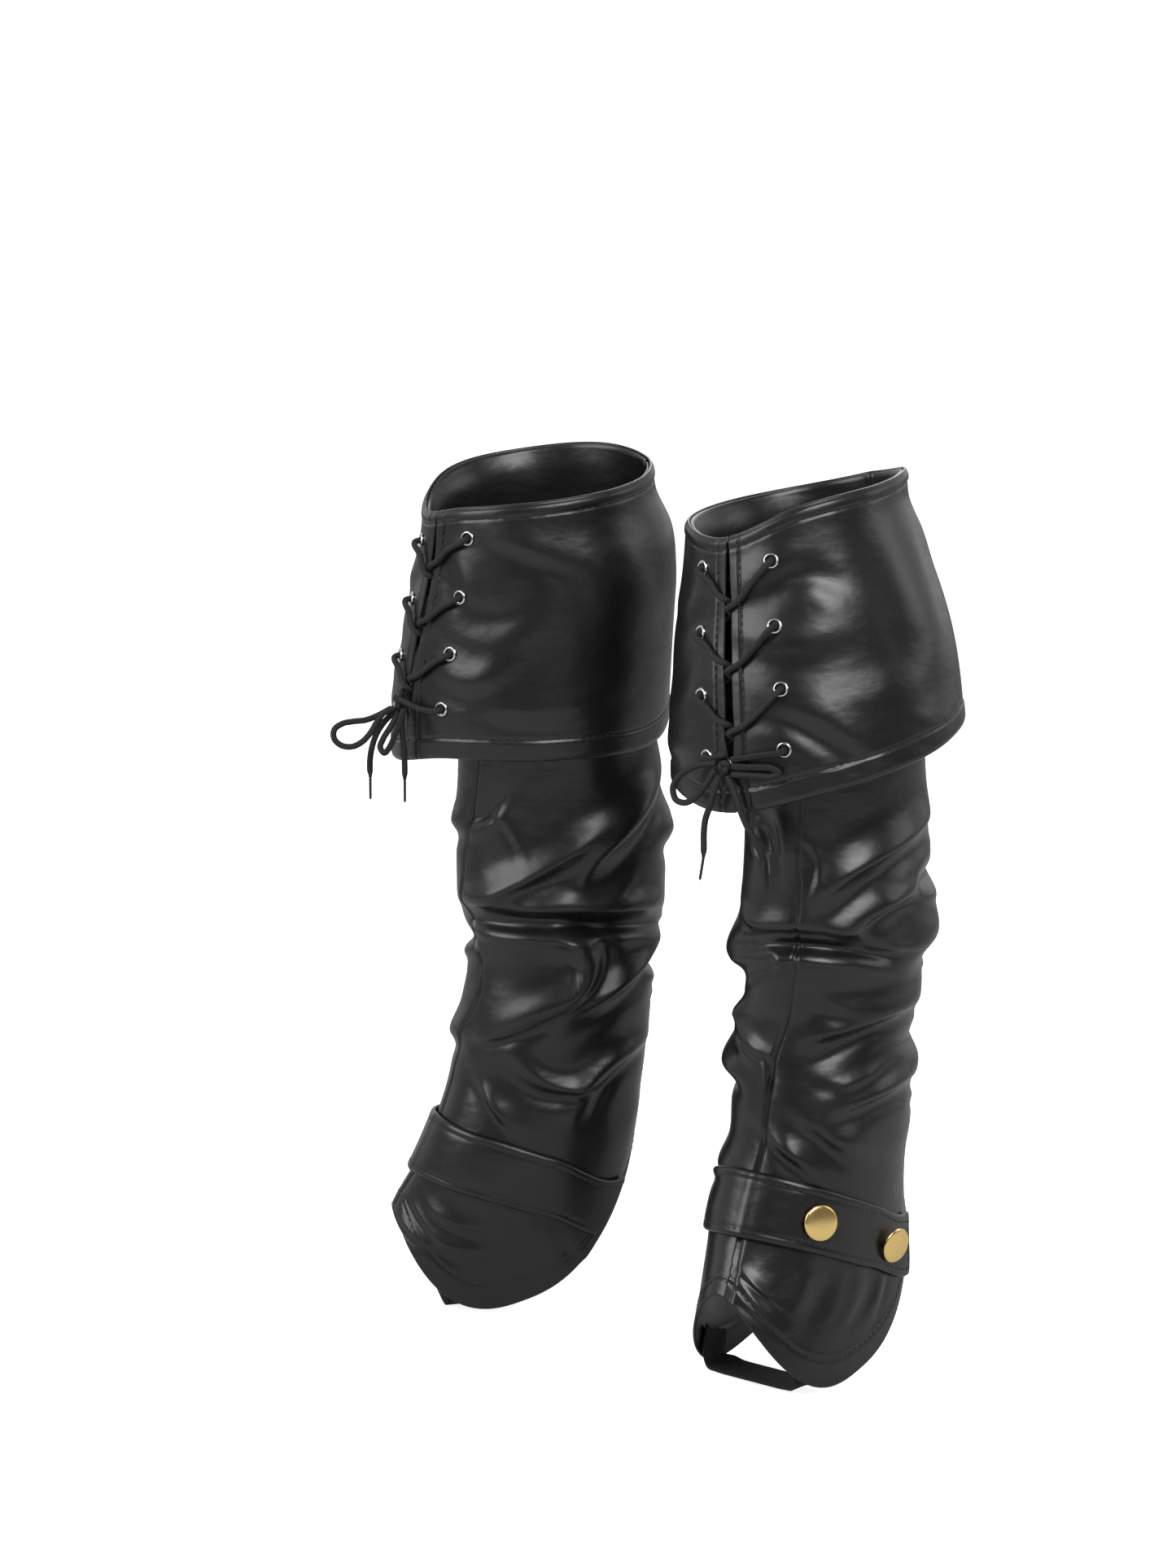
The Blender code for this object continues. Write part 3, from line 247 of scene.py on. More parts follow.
# Finer creases between the folds, in the columns of the folds
CREASES = {
    "left": (
        (140, 312, 66, 295.5, 27, 262, 2, 4.5), (112, 268.5, 80, 267.2, 57, 256, 2.3, 3.9),
        (62, 284, 84, 277.5, 104, 284, -1.6, 5.2), (-42, 237, 22, 253.5, 84, 239, -2, 2.9),
        (56, 251.5, 82, 242.5, 112, 242, 2, 3.6), (-19, 244.9, 8, 240, 6, 230, 1.8, 3.6),
        (9, 231, -8, 226.5, -35, 211.5, 1.6, 3.6), (-35, 211.2, -28, 198.5, 6, 184.4, 1.6, 3.9),
        (-20, 314, 0, 304.5, 4, 284, 1.4, 3.2), (-40, 305.6, -6, 294.5, 1, 266, -1.4, 3.2),
        (-42, 276, -20, 260.5, 6, 258.5, 2.2, 4.2), (44, 239, 57, 238, 70, 235, 0.9, 3.2),
        (-26, 194.5, -7, 187.9, 5, 184, 1.4, 3.2), (2, 186, 9, 172, 6, 158, -1.3, 3.1),
        (118, 183, 70, 173.5, 36, 155, 2, 5.9), (38, 151, 56, 137, 82, 121, 1.6, 5.2),
        (14, 141, 36, 129, 63, 107, 1.3, 4.5), (26, 304, 36, 292, 30, 268, 1.3, 2.9),
        (9, 72, 23, 63, 42, 50, 2.3, 2.2), (10, 65, 22, 56.5, 38, 43.5, 2, 2.2),
        (12, 58, 30, 47, 52, 30, 1.4, 2.6), (84, 70, 86, 50, 74, 32, 1.6, 4.5),
        (104, 64, 98, 46, 90, 28, 1.4, 3.2), (48, 74, 50, 57, 44, 42, 2, 8),
        (66, 72, 67, 56, 60, 39, -1.5, 6), (22, 190.5, 48, 200, 88, 206, 1.6, 6),
        (28, 180.5, 55, 186, 80, 198, -1.4, 6.5), (28, 230, 52, 229, 76, 224, 1.3, 5.5),
        (30, 222.5, 50, 213.5, 84, 215, 1.8, 6), (36, 176, 62, 172, 92, 180, 1.3, 5),
        (-34, 82, -18, 89, 2, 89, 1.3, 3), (-60, 262, -100, 252, -140, 268, 1.8, 4.5),
        (-70, 238, -112, 230, -150, 240, -1.6, 3.4), (-52, 222, -90, 205, -128, 212, 1.6, 4.2),
        (-60, 190, -96, 181, -140, 192, 1.8, 4.5), (-50, 165, -84, 155, -120, 160, -1.4, 3.4),
        (-170, 300, -140, 286, -104, 292, 1.8, 5.2), (-175, 272, -150, 262, -120, 266, 1.6, 4.2),
        (-172, 236, -150, 226, -124, 230, -1.4, 3.6), (-166, 198, -138, 186, -108, 190, 1.6, 4.2),
        (-60, 310, -90, 300, -120, 312, 1.3, 4.5), (178, 300, 160, 288, 136, 294, 1.4, 4.2),
        (176, 232, 154, 222, 128, 228, 1.6, 3.9), (172, 205, 150, 196, 120, 204, -1.4, 3.6),
        (170, 160, 146, 150, 116, 156, 1.4, 4.2), (-160, 150, -130, 138, -104, 144, 1.3, 3.9),
    ),
    "right": (
        (-167, 327.5, -117, 286.4, -89, 252.7, 2, 4.9),
        (-110, 294, -67, 260.3, -29, 244, 1.8, 4.2), (-20, 239, -63, 233.8, -100, 238, -1.6, 3.1),
        (-70, 233, -96, 205, -78, 177, 1.8, 4.2), (-80, 178, -52, 166, -26, 163, 1.6, 3.9),
        (-172, 222, -120, 196, -80, 169, 1.8, 4.4), (-160, 160, -108, 143, -101, 107, 1.6, 4.2),
        (-61, 159, -92, 137, -108, 146, 1.4, 3.6), (-44, 136, -56, 124, -68, 112, 1.3, 3.4),
        (-40, 300, -58, 280, -64, 262, 1.3, 3.4), (-130, 262, -118, 248, -100, 243, 1.3, 3.4),
        (-12, 68, -34, 52, -60, 34, 1.4, 3.1), (-4, 60, -26, 47, -48, 36, 1.3, 3.1),
        (150, 300, 100, 286, 52, 268, 1.8, 4.7), (140, 262, 96, 252, 50, 256, -1.4, 3.4),
        (30, 246, 70, 236, 120, 244, 1.6, 4.2), (36, 214, 76, 204, 124, 214, 1.8, 4.7),
        (40, 184, 84, 176, 130, 186, -1.4, 3.6), (44, 160, 86, 150, 128, 158, 1.6, 4.2),
        (26, 290, 44, 276, 58, 258, 1.4, 3.9), (160, 282, 176, 270, 196, 276, 1.6, 4.4),
        (156, 236, 176, 226, 198, 232, 1.4, 3.9), (150, 190, 172, 180, 196, 188, 1.6, 4.2),
        (20, 136, 46, 128, 74, 118, 1.3, 3.6), (8, 320, 16, 300, 10, 280, 1.3, 3.6),
        (10, 200, 26, 192, 44, 196, 1.3, 3.6), (-24, 68, -44, 57, -74, 50, 1.8, 5),
        (-34, 49, -56, 40, -86, 35, 1.6, 5), (-72, 66, -86, 53, -94, 38, 1.5, 5),
        (-104, 50, -112, 38, -118, 29, 1.4, 4.5),
    ),
}
# Soft buckles of the cuffs, in the same columns
CUFF_FOLDS = {
    "left": (
        (4, 436, 22, 452, 44, 468, 1.9, 9), (26, 441, 44, 449, 62, 436, -1.7, 8),
        (8, 426, 30, 417, 60, 428, 1.5, 10), (28, 386, 48, 373, 68, 351, 1.9, 9),
        (18, 374, 34, 371, 52, 355, -1.5, 7), (24, 402, 62, 404, 94, 422, -1.3, 13),
        (82, 474, 90, 432, 100, 398, 1.5, 13), (112, 476, 118, 440, 116, 398, -1.5, 12),
        (72, 382, 92, 371, 110, 380, 1.2, 9), (-14, 446, -28, 428, -50, 436, 1.5, 9),
        (-16, 408, -34, 386, -48, 392, -1.5, 10), (-14, 364, -38, 352, -62, 364, 1.4, 8),
        (-70, 458, -88, 430, -96, 392, 1.4, 12), (-104, 444, -132, 428, -160, 446, 1.6, 12),
        (-98, 402, -128, 410, -166, 392, -1.5, 12), (-92, 366, -124, 360, -158, 374, 1.4, 9),
        (148, 466, 160, 434, 172, 396, 1.4, 12),
    ),
    "right": (
        (-34, 452, -46, 430, -42, 408, 1.7, 8), (-42, 428, -62, 412, -80, 432, -1.7, 10),
        (-34, 392, -56, 377, -74, 398, 1.6, 9), (-58, 370, -88, 360, -120, 374, 1.3, 9),
        (-90, 460, -110, 430, -116, 392, 1.5, 12), (-50, 462, -76, 452, -98, 440, 1.4, 8),
        (-130, 462, -144, 424, -150, 384, -1.3, 12), (-6, 446, 14, 428, 36, 440, 1.5, 9),
        (-4, 404, 16, 386, 38, 396, -1.5, 10), (4, 362, 26, 354, 48, 366, 1.3, 8),
        (58, 456, 92, 436, 138, 450, 1.6, 12), (66, 416, 106, 402, 146, 418, -1.5, 12),
        (72, 376, 108, 362, 152, 370, 1.5, 9), (158, 462, 172, 430, 176, 392, 1.4, 12),
    ),
}


BLEND = 0.004                # metres over which neighbouring points of a fold's line blend
TROUGH_PLACE, TROUGH_WIDTH, TROUGH_SHARE, UNDERSIDE = 1.3, 0.6, 0.4, 0.65   # times the width


def fold_relief(lines, turn, height, peak, taper):
    """Sum over the lines of ridge - 0.4 trough, each times crest height and a fade to the ends.

    ridge = e to the minus (distance over width) to the power peak; the trough lies 1.3 widths
    under it. The distance is measured across a quadratic curve, with 25 points blended softly.
    """
    total = np.zeros(turn.shape)
    t = np.linspace(0, 1, 25)
    for a0, h0, a1, h1, a2, h2, crest, reach in lines:
        start, mid, end = np.array([[a0, h0], [a1, h1], [a2, h2]]) * [1, 0.001]
        bend = 2 * mid - (start + end) / 2
        line = (np.outer((1 - t) ** 2, start) + np.outer(2 * t * (1 - t), bend)
                + np.outer(t * t, end))
        r = reach / 1000
        margin = math.degrees(5 * r / FOLD_RADIUS)
        centre, half = (line[:, 0].min() + line[:, 0].max()) / 2, np.ptp(line[:, 0]) / 2 + margin
        near_by = ((np.abs(wrapped(turn - centre)) < half) & (height > line[:, 1].min() - 5 * r)
                   & (height < line[:, 1].max() + 5 * r))
        if not near_by.any():
            continue
        along = unit(np.gradient(line * [math.radians(FOLD_RADIUS), 1], axis=0))
        across = np.stack([-along[:, 1], along[:, 0]], 1)
        across *= 1 if across[:, 1].sum() > 0 else -1
        dx = wrapped(turn[near_by][:, None] - line[:, 0]) * math.radians(FOLD_RADIUS)
        dy = height[near_by][:, None] - line[:, 1]
        far = dx * dx + dy * dy
        near = np.exp(-(far - far.min(-1, keepdims=True)) / (2 * BLEND ** 2))
        near /= near.sum(-1, keepdims=True)
        away = (near * (dx * across[:, 0] + dy * across[:, 1])).sum(-1)
        fade = (near * np.sin(np.pi * t) ** taper).sum(-1)
        ridge = np.exp(-np.abs(away / np.where(away > 0, r, UNDERSIDE * r)) ** peak)
        trough = bump_at(away + TROUGH_PLACE * r, TROUGH_WIDTH * r)
        total[near_by] += crest / 1000 * fade * (ridge - TROUGH_SHARE * trough)
    return total


def hollow_depth(leg, turn, height):
    """Sum of bell-shaped hollows: depth times e to minus the squared distance in half widths."""
    total = np.zeros(np.broadcast(turn, height).shape)
    for angle, level, depth, wide, tall in HOLLOWS[leg]:
        away = (wrapped(turn - angle) / wide) ** 2 + ((height * 1000 - level) / tall) ** 2
        total += depth / 1000 * np.exp(-away)
    return total


print("folds:", {leg: len(FOLDS[leg]) for leg in FOLDS}, "creases:",
      {leg: len(CREASES[leg]) for leg in CREASES})

# %% [markdown]
# ## Surfaces of a cover
# The shaft is a tube of tilted rings. Each ring is a flattened circle whose front and back stand
# at their own height and reach, so one function of angle and way down gives the whole of it:
# the tube at the top, the ankle, and the spat that spreads over the foot.
# The cuff is a second, flared tube outside the first.

# %% Two functions that give the outer faces


def shaft(leg, turn, down, fine=True):
    """Ring through (down), point on it at (turn), pushed out by the folds and hung a bit lower.

    out = shift + (half width + relief) times the sine; ahead runs from back reach to front reach
    as the cosine does; up tilts from back height to front height, less the drop at the sides.
    """
    row = np.moveaxis(curve_through(SHAFT_TABLE, down), -1, 0)
    front_up, front, back_up, back, width, shift, drop, edge_share, square = row
    sine = np.sign(np.sin(turn)) * np.abs(np.sin(turn)) ** square
    cosine = np.sign(np.cos(turn)) * np.abs(np.cos(turn)) ** square
    fore = (1 + cosine) / 2
    top = curve_through(CUFF_EDGES, wrapped(np.degrees(turn)))[..., 0]
    level_top = CUFF_EDGES[0][1] + (CUFF_EDGES[4][1] - CUFF_EDGES[0][1]) * fore
    up = (back_up + (front_up - back_up) * fore - drop * np.abs(np.sin(turn)) ** 1.5
          + edge_share * (top - level_top))
    degrees = np.degrees(turn)
    lift = fold_relief(FOLDS[leg], degrees, up, *FLAT_FOLD)
    lift *= smooth_step(*FOLDS_BELOW, up) * smooth_step(*FOLDS_ABOVE, down)
    if fine:
        lift = lift + fold_relief(CREASES[leg], degrees, up, *SHARP_FOLD)
    lift -= hollow_depth(leg, degrees, up)
    out = shift + (width + lift) * sine
    ahead = back + (front - back) * fore + lift * cosine
    return np.stack([out, ahead, up - SAG * np.maximum(lift, 0)], -1)


def cuff(leg, turn, down):
    """Flared ring at (down), point on it at (turn), between a top and a lower edge line."""
    edges = curve_through(CUFF_EDGES, wrapped(np.degrees(turn)))
    front, back, width, shift = np.moveaxis(curve_through(CUFF_RINGS, down), -1, 0)
    up = edges[..., 0] + (edges[..., 1] - edges[..., 0]) * down
    degrees = np.degrees(turn)
    lift = (fold_relief(CUFF_FOLDS[leg], degrees, up, *FLAT_FOLD)
            - hollow_depth(leg, degrees, up))
    ahead = back + (front - back) * (1 + np.cos(turn)) / 2 + lift * np.cos(turn)
    out = shift + (width + lift) * np.sin(turn)
    return np.stack([out, ahead, up], -1)


def outward(surface, leg, turn, down):
    """Unit normal: cross product of the steps round the leg and down it."""
    high, low = np.clip(down + BESIDE, 0, 1), np.clip(down - BESIDE, 0, 1)
    return unit(np.cross(surface(leg, turn + BESIDE, down) - surface(leg, turn - BESIDE, down),
                         surface(leg, turn, high) - surface(leg, turn, low)))


def off_surface(surface, leg, turn, down, distance):
    """Point of a surface moved along its normal."""
    turn, down = np.asarray(turn, float), np.asarray(down, float)
    return (surface(leg, turn, down)
            + outward(surface, leg, turn, down) * np.asarray(distance)[..., None])


def slit_turn(leg, down):
    """Angle of the slit's middle: it runs straight from its top angle to its bottom angle."""
    top, bottom = SLIT_TURN[leg]
    return np.radians(top + (bottom - top) * np.asarray(down, float))


# %% [markdown]
# ## From a grid of points to a piece
# A sheet of faux leather is a closed wall: an outer grid, an inner grid one thickness inside it,
# and a rim between them. The rim gets one more line of points in its middle, pushed out by half
# the thickness, so that cut edges look rolled. All pieces are made by the same helper, which
# also turns the faces outward by checking the sign of the volume.

# %% Helpers that make meshes
built, SLOT_OF = {}, {}


def new_piece(name, points, faces, uv=None, node=None, slot="vinyl"):
    """Mesh object from arrays. Faces are flipped if the signed volume comes out negative."""
    points, faces = np.asarray(points, float), np.asarray(faces, int)
    corner = points[faces]
    fan = np.cross(corner[:, 1] - corner[:, 0], corner[:, 2] - corner[:, 0])
    volume = (fan * corner[:, 0]).sum()
    if faces.shape[1] == 4:
        fan = np.cross(corner[:, 2] - corner[:, 0], corner[:, 3] - corner[:, 0])
        volume += (fan * corner[:, 0]).sum()
    if volume < 0:
        faces = faces[:, ::-1]
    mesh = bpy.data.meshes.new(name)
    mesh.vertices.add(len(points))
    mesh.vertices.foreach_set("co", points.ravel())
    mesh.loops.add(faces.size)
    mesh.loops.foreach_set("vertex_index", faces.ravel())
    mesh.polygons.add(len(faces))
    mesh.polygons.foreach_set("loop_start", np.arange(0, faces.size, faces.shape[1]))
    if uv is not None:
        layer = mesh.uv_layers.new(name="UVMap")
        layer.data.foreach_set("uv", np.asarray(uv)[faces.ravel()].ravel())
    mesh.update(calc_edges=True)
    mesh.validate()
    mesh.shade_smooth()
    piece = bpy.data.objects.new(name, mesh)
    bpy.context.scene.collection.objects.link(piece)
    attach(piece, "root")
    if node:
        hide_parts(*([node] if isinstance(node, str) else node))
    built[name], SLOT_OF[name] = piece, slot
    return piece


def grid_normals(grid):
    """Normals of a grid of points: cross product of its gradients along rows and columns."""
    return unit(np.cross(np.gradient(grid, axis=1), np.gradient(grid, axis=0)))


def cells(number, round_columns=False, round_rows=False):
    """Quads between the numbers of a grid, which may close on itself either way."""
    if round_columns:
        number = np.concatenate([number, number[:, :1]], 1)
    if round_rows:
        number = np.concatenate([number, number[:1]])
    quads = np.stack([number[:-1, :-1], number[:-1, 1:], number[1:, 1:], number[1:, :-1]], -1)
    return quads.reshape(-1, 4)


def wall_arrays(outer, inner, uv):
    """Points, quads and UVs of a closed wall with a rolled rim."""
    count = outer.shape[0] * outer.shape[1]
    number = np.arange(count).reshape(outer.shape[:2])
    cell = cells(number)[:, [0, 3, 2, 1]]
    edge = np.concatenate([number[0, :-1], number[:-1, -1], number[-1, :0:-1], number[:0:-1, 0]])
    within = np.concatenate([number[1, :-1], number[:-1, -2], number[-2, :0:-1], number[:0:-1, 1]])
    a, b = outer.reshape(-1, 3), inner.reshape(-1, 3)
    thick = np.linalg.norm(a[edge] - b[edge], axis=1, keepdims=True)
    middle = (a[edge] + b[edge]) / 2 + unit(a[edge] - a[within]) * thick / 2
    rim = 2 * count + np.arange(len(edge))
    rolled = np.roll(cells(np.stack([edge, rim, edge + count]), True), -1, 1)
    faces = np.concatenate([cell, cell[:, ::-1] + count, rolled])
    points = np.concatenate([a, b, middle])
    flat = uv.reshape(-1, 2)
    return points, faces, np.concatenate([flat, flat, flat[edge]])


def away_normals(grid):
    """Grid normals, all turned together so that they point away from the middle of each row."""
    normal = grid_normals(grid)
    return normal if (normal * (grid - grid.mean(axis=1, keepdims=True))).sum() > 0 else -normal


def area_of(grid):
    """Area of a grid: half the length of the cross product of each cell's diagonals, summed."""
    d1, d2 = grid[1:, 1:] - grid[:-1, :-1], grid[1:, :-1] - grid[:-1, 1:]
    return float(np.linalg.norm(np.cross(d1, d2), axis=-1).sum() / 2)


def cloth(leg, name, outer, inner, uv, slot="vinyl"):
    """A leg's sheet: its wall in world places, riding on the frame and standing for its node."""
    points, faces, flat = wall_arrays(outer, inner, uv)
    new_piece(f"{leg}_{name}_cloth", stand(leg, points), faces, flat, f"{leg}_{name}", slot)
    print(leg, name, "area", round(area_of(outer), 4), "faces", len(faces))


# %% [markdown]
# ## The laces
# A lace is a round braided cord, 3.5 mm thick. It is one cord on the real thing, and four pieces
# here: the part laced through the eyelets, the knot, two loops and two tails. The loops and tails
# are free cords, so they come before the leather.
# A cord is a ring of points carried along a path. The ring is turned only as much as the path
# turns, so that the braid does not twist.

# %% Where the lace beyond the knot runs
AGLET_RADIUS = 0.0008
CUFF_REACH = 0.078           # turns an angle on the cuff into a length
LOOP_LENGTHS = {"left": (0.078, 0.0545), "right": (0.087, 0.055)}
TAIL_LENGTHS = {"left": (0.048, 0.050), "right": (0.042, 0.037)}
KNOT_AXES = (0.0046, 0.0036, 0.0045)
# The lace beyond the knot, in millimetres in the leg frame: out, ahead, up
KNOT = {"left": (4.4, 93.0, 349.0), "right": (-33.4, 88.8, 356.6)}
LOOPS = {
    "left": (
        ((-1.6, 95.2, 350.6), (-8, 96.6, 349.6), (-16.5, 97.0, 346.4), (-25.6, 96.8, 340.1),
         (-29.1, 96.4, 334.4), (-27.3, 96.6, 328.8), (-21, 97.2, 327.4), (-13.6, 97.6, 330.4),
         (-6.5, 97.6, 337.2), (-1.2, 96.4, 345.4)),
        ((10.2, 92.9, 349.8), (17.5, 91.2, 350.1), (25.5, 88.6, 350.5), (31.5, 86.4, 350.3),
         (34.6, 85.2, 348.3), (31.5, 86.4, 346.2), (24.5, 88.8, 345.9), (16.5, 91.4, 345.8),
         (9.8, 92.9, 345.6)),
    ),
    "right": (
        ((-37.6, 93.8, 356.6), (-38.7, 98.6, 354.6), (-38.7, 102.5, 349.4), (-38, 106.2, 343.2),
         (-37, 110.7, 338.2), (-36, 116.5, 335.4), (-35, 122.5, 336.2), (-34.4, 126.4, 340.2),
         (-34, 126.2, 345.0), (-33.4, 121.5, 348.3), (-32.8, 115.5, 349.3), (-32.2, 108, 349.9),
         (-31.8, 101.8, 352.0), (-32.0, 95.2, 355.4)),
        ((-38.9, 91.4, 352.4), (-41.6, 95.2, 346.8), (-42.9, 99.4, 340.6), (-43.6, 101.2, 335.6),
         (-45.4, 99.2, 332.8), (-46.6, 96.0, 336.8), (-46.2, 93.0, 343.6), (-42.6, 89.4, 351.6)),
    ),
}
TAILS = {
    "left": (
        ((2.7, 96.6, 343.4), (0.9, 97.3, 337.5), (-2.2, 97.0, 328.8), (-6.4, 96.4, 319.5),
         (-7.7, 96.0, 311.0), (-7.8, 95.8, 304.5), (-8.2, 95.6, 298.9)),
        ((8.0, 93.3, 341.4), (10.8, 92.9, 336.0), (14.1, 92.5, 328.0), (17.0, 91.0, 320.0),
         (20.2, 87.4, 311.0), (21.8, 84.4, 304.0), (22.6, 82.8, 299.5)),
    ),
    "right": (
        ((-29.2, 93.6, 351.6), (-27.9, 98.0, 346.6), (-28.0, 101.5, 341.0), (-28.3, 104.2, 333.4),
         (-28.5, 105.4, 326.0), (-28.5, 105.3, 316.2)),
        ((-36.4, 88.0, 350.6), (-36.9, 88.2, 345.6), (-36.7, 87.6, 340.0), (-36.4, 86.9, 333.0),
         (-36.0, 86.5, 325.0), (-36.0, 86.5, 315.2)),
    ),
}
AGLET_LEAN = {"left": ((-0.19, 0.0, -0.98), (0.06, 0.0, -1.0)),
              "right": ((0.0, 0.0, -1.0), (0.0, 0.0, -1.0))}

# %% A ring carried along a path
LACE_SIDES = 14              # corners of the ring


def run_along(points):
    """Distance from the first point to each one, along the line through them."""
    steps = np.linalg.norm(np.diff(points, axis=0), axis=1)
    return np.concatenate([[0], np.cumsum(steps)])


def smooth_curve(points, count):
    """Points on a smooth curve through a few chosen ones, at even shares of their distances."""
    run = run_along(points)
    return curve_through(np.column_stack([run, points]), np.linspace(0, run[-1], count))


def at_distances(data, run, where):
    """Rows of data that stand at the distances run, read off at other distances."""
    return np.stack([np.interp(where, run, data[:, i]) for i in range(3)], -1)


def smooth_path(points, count):
    """Evenly spaced points on a smooth curve through a few chosen ones."""
    dense = smooth_curve(np.asarray(points, float), 600)
    run = run_along(dense)
    return at_distances(dense, run, np.linspace(0, run[-1], count))


def tube(name, path, radius, node, slot, closed=False, squash=1.0):
    """Ring of points at each place of the path: place + r(cos v side + squash sin v up)."""
    path = np.asarray(path)
    way = unit(np.roll(path, -1, 0) - np.roll(path, 1, 0) if closed
               else np.gradient(path, axis=0))
    side = np.empty_like(path)
    side[0] = np.cross(way[0], np.eye(3)[np.abs(way[0]).argmin()])
    for i in range(1, len(path)):
        side[i] = side[i - 1] - way[i] * (side[i - 1] @ way[i])
    side = unit(side)
    up = np.cross(way, side)
    v = np.linspace(0, 2 * np.pi, LACE_SIDES, endpoint=False)
    r = np.broadcast_to(radius, len(path))[:, None, None]
    ring = path[:, None] + r * (np.cos(v)[:, None] * side[:, None]
                                + squash * np.sin(v)[:, None] * up[:, None])
    number = np.arange(len(path) * LACE_SIDES).reshape(-1, LACE_SIDES)
    faces = cells(number, True, closed)
    if not closed:
        half = LACE_SIDES // 2
        across = np.arange(half - 1)
        cap = np.stack([across, across + 1, LACE_SIDES - 2 - across, LACE_SIDES - 1 - across], -1)
        faces = np.concatenate([faces, cap[:, ::-1], number[-1][cap]])
    u = np.repeat(run_along(path)[:, None], LACE_SIDES, 1)
    w = np.repeat(v[None] / (2 * np.pi), len(path), 0)
    uv = np.stack([u, w], -1).reshape(-1, 2)
    return new_piece(name, ring.reshape(-1, 3), faces, uv, node, slot)


# %% Where the lace goes through the eyelets
def eyelet_place(leg, side, number):
    """Point of an eyelet on the cuff and the cuff's normal there."""
    at, arc = EYELETS[leg, side][number]
    middle = slit_turn(leg, at)
    reach = np.linalg.norm(cuff(leg, middle + side * 0.3, at) - cuff(leg, middle, at))
    turn = middle + side * 0.3 * arc / reach
    return cuff(leg, turn, np.float64(at)), outward(cuff, leg, turn, np.float64(at))


# Distances of the lace's middle from the cuff's face: in front, behind, and beside an eyelet
FRONT, BEHIND = LACE_RADIUS + 0.0008, -(WALL + LACE_RADIUS + 0.0010)
EYELET_FRONT, EYELET_BACK, TOP_EYELET_BACK = 0.0034, -0.0038, -0.0040


def lacing_route(leg):
    """From the knot up through the eyelets, across behind the top pair, and down to the knot."""

    def place(arc, down, distance):
        turn = slit_turn(leg, down) + arc / CUFF_REACH
        return off_surface(cuff, leg, turn, np.float64(down), np.float64(distance))

    def hole(side, number, distance, drop=0.0):
        point, normal = eyelet_place(leg, side, number)
        return point + normal * distance - np.array([0, 0, drop])

    def half(side):
        """From behind the top pair down to the knot, starting on one side."""
        route = [hole(side, 0, TOP_EYELET_BACK), hole(side, 0, 0.0)]
        for k in range(3):
            (here, arc), (after, next_arc) = EYELETS[leg, side][k], EYELETS[leg, -side][k + 1]
            dip = (here + after) / 2 + side * 0.0165 + 0.004
            # Each place: share of the eyelet's distance from the slit, way down, distance out
            route += [
                hole(side, k, EYELET_FRONT, 0.0010),
                place(side * arc * 0.66, here + 0.42 * (dip - here), FRONT),
                place(side * arc * 0.30, here + 0.80 * (dip - here), FRONT),
                place(side * 0.0010, dip - 0.006, FRONT - 0.0004),
                place(side * 0.0002, dip, -WALL / 2),
                place(-side * 0.0010, dip + 0.006, BEHIND + 0.0004),
                place(-side * next_arc * 0.34, dip + 0.25 * (after - dip), BEHIND),
                place(-side * next_arc * 0.68, after - 0.030, BEHIND - 0.0004),
                hole(-side, k + 1, EYELET_BACK),
                hole(-side, k + 1, 0.0),
            ]
            side = -side
        join = np.array(KNOT[leg]) / 1000 + np.array([side * 0.0062, -0.0012, 0.0048])
        down, arc = EYELETS[leg, side][3]
        return route + [hole(side, 3, EYELET_FRONT, 0.0006),
                        place(side * arc * 0.62, down, FRONT + 0.0004), join]

    top = EYELETS[leg, 1][0][0]
    middle = [place(0.0075, top, BEHIND - 0.0008), place(-0.0075, top, BEHIND - 0.0008)]
    return half(1)[::-1] + middle + half(-1)


KNOT_CLEARANCE, KNOT_STEP = 0.00045, 0.0001


def meet_knot(leg, points):
    """Cord made longer or shorter along its last stretch until its end face meets the knot."""
    way = unit(points[-1] - points[-2])
    across = unit(np.cross(way, [0.3, 0.1, 1.0]))
    angle = np.linspace(0, 2 * math.pi, 13)[:, None]
    rim = LACE_RADIUS * (np.cos(angle) * across + np.sin(angle) * np.cross(way, across))
    face = np.concatenate([rim, rim * 0]) - np.array(KNOT[leg]) / 1000
    end = points[-1] - way * 0.003
    for _ in range(90):      # at most 9 mm in all
        scaled = np.linalg.norm((end + face) / KNOT_AXES, axis=1)
        clear = np.linalg.norm(end + face, axis=1) * (1 - 1 / scaled)
        if clear.min() < KNOT_CLEARANCE:
            break
        end = end + way * KNOT_STEP
    return np.concatenate([points[:-1], [end]])


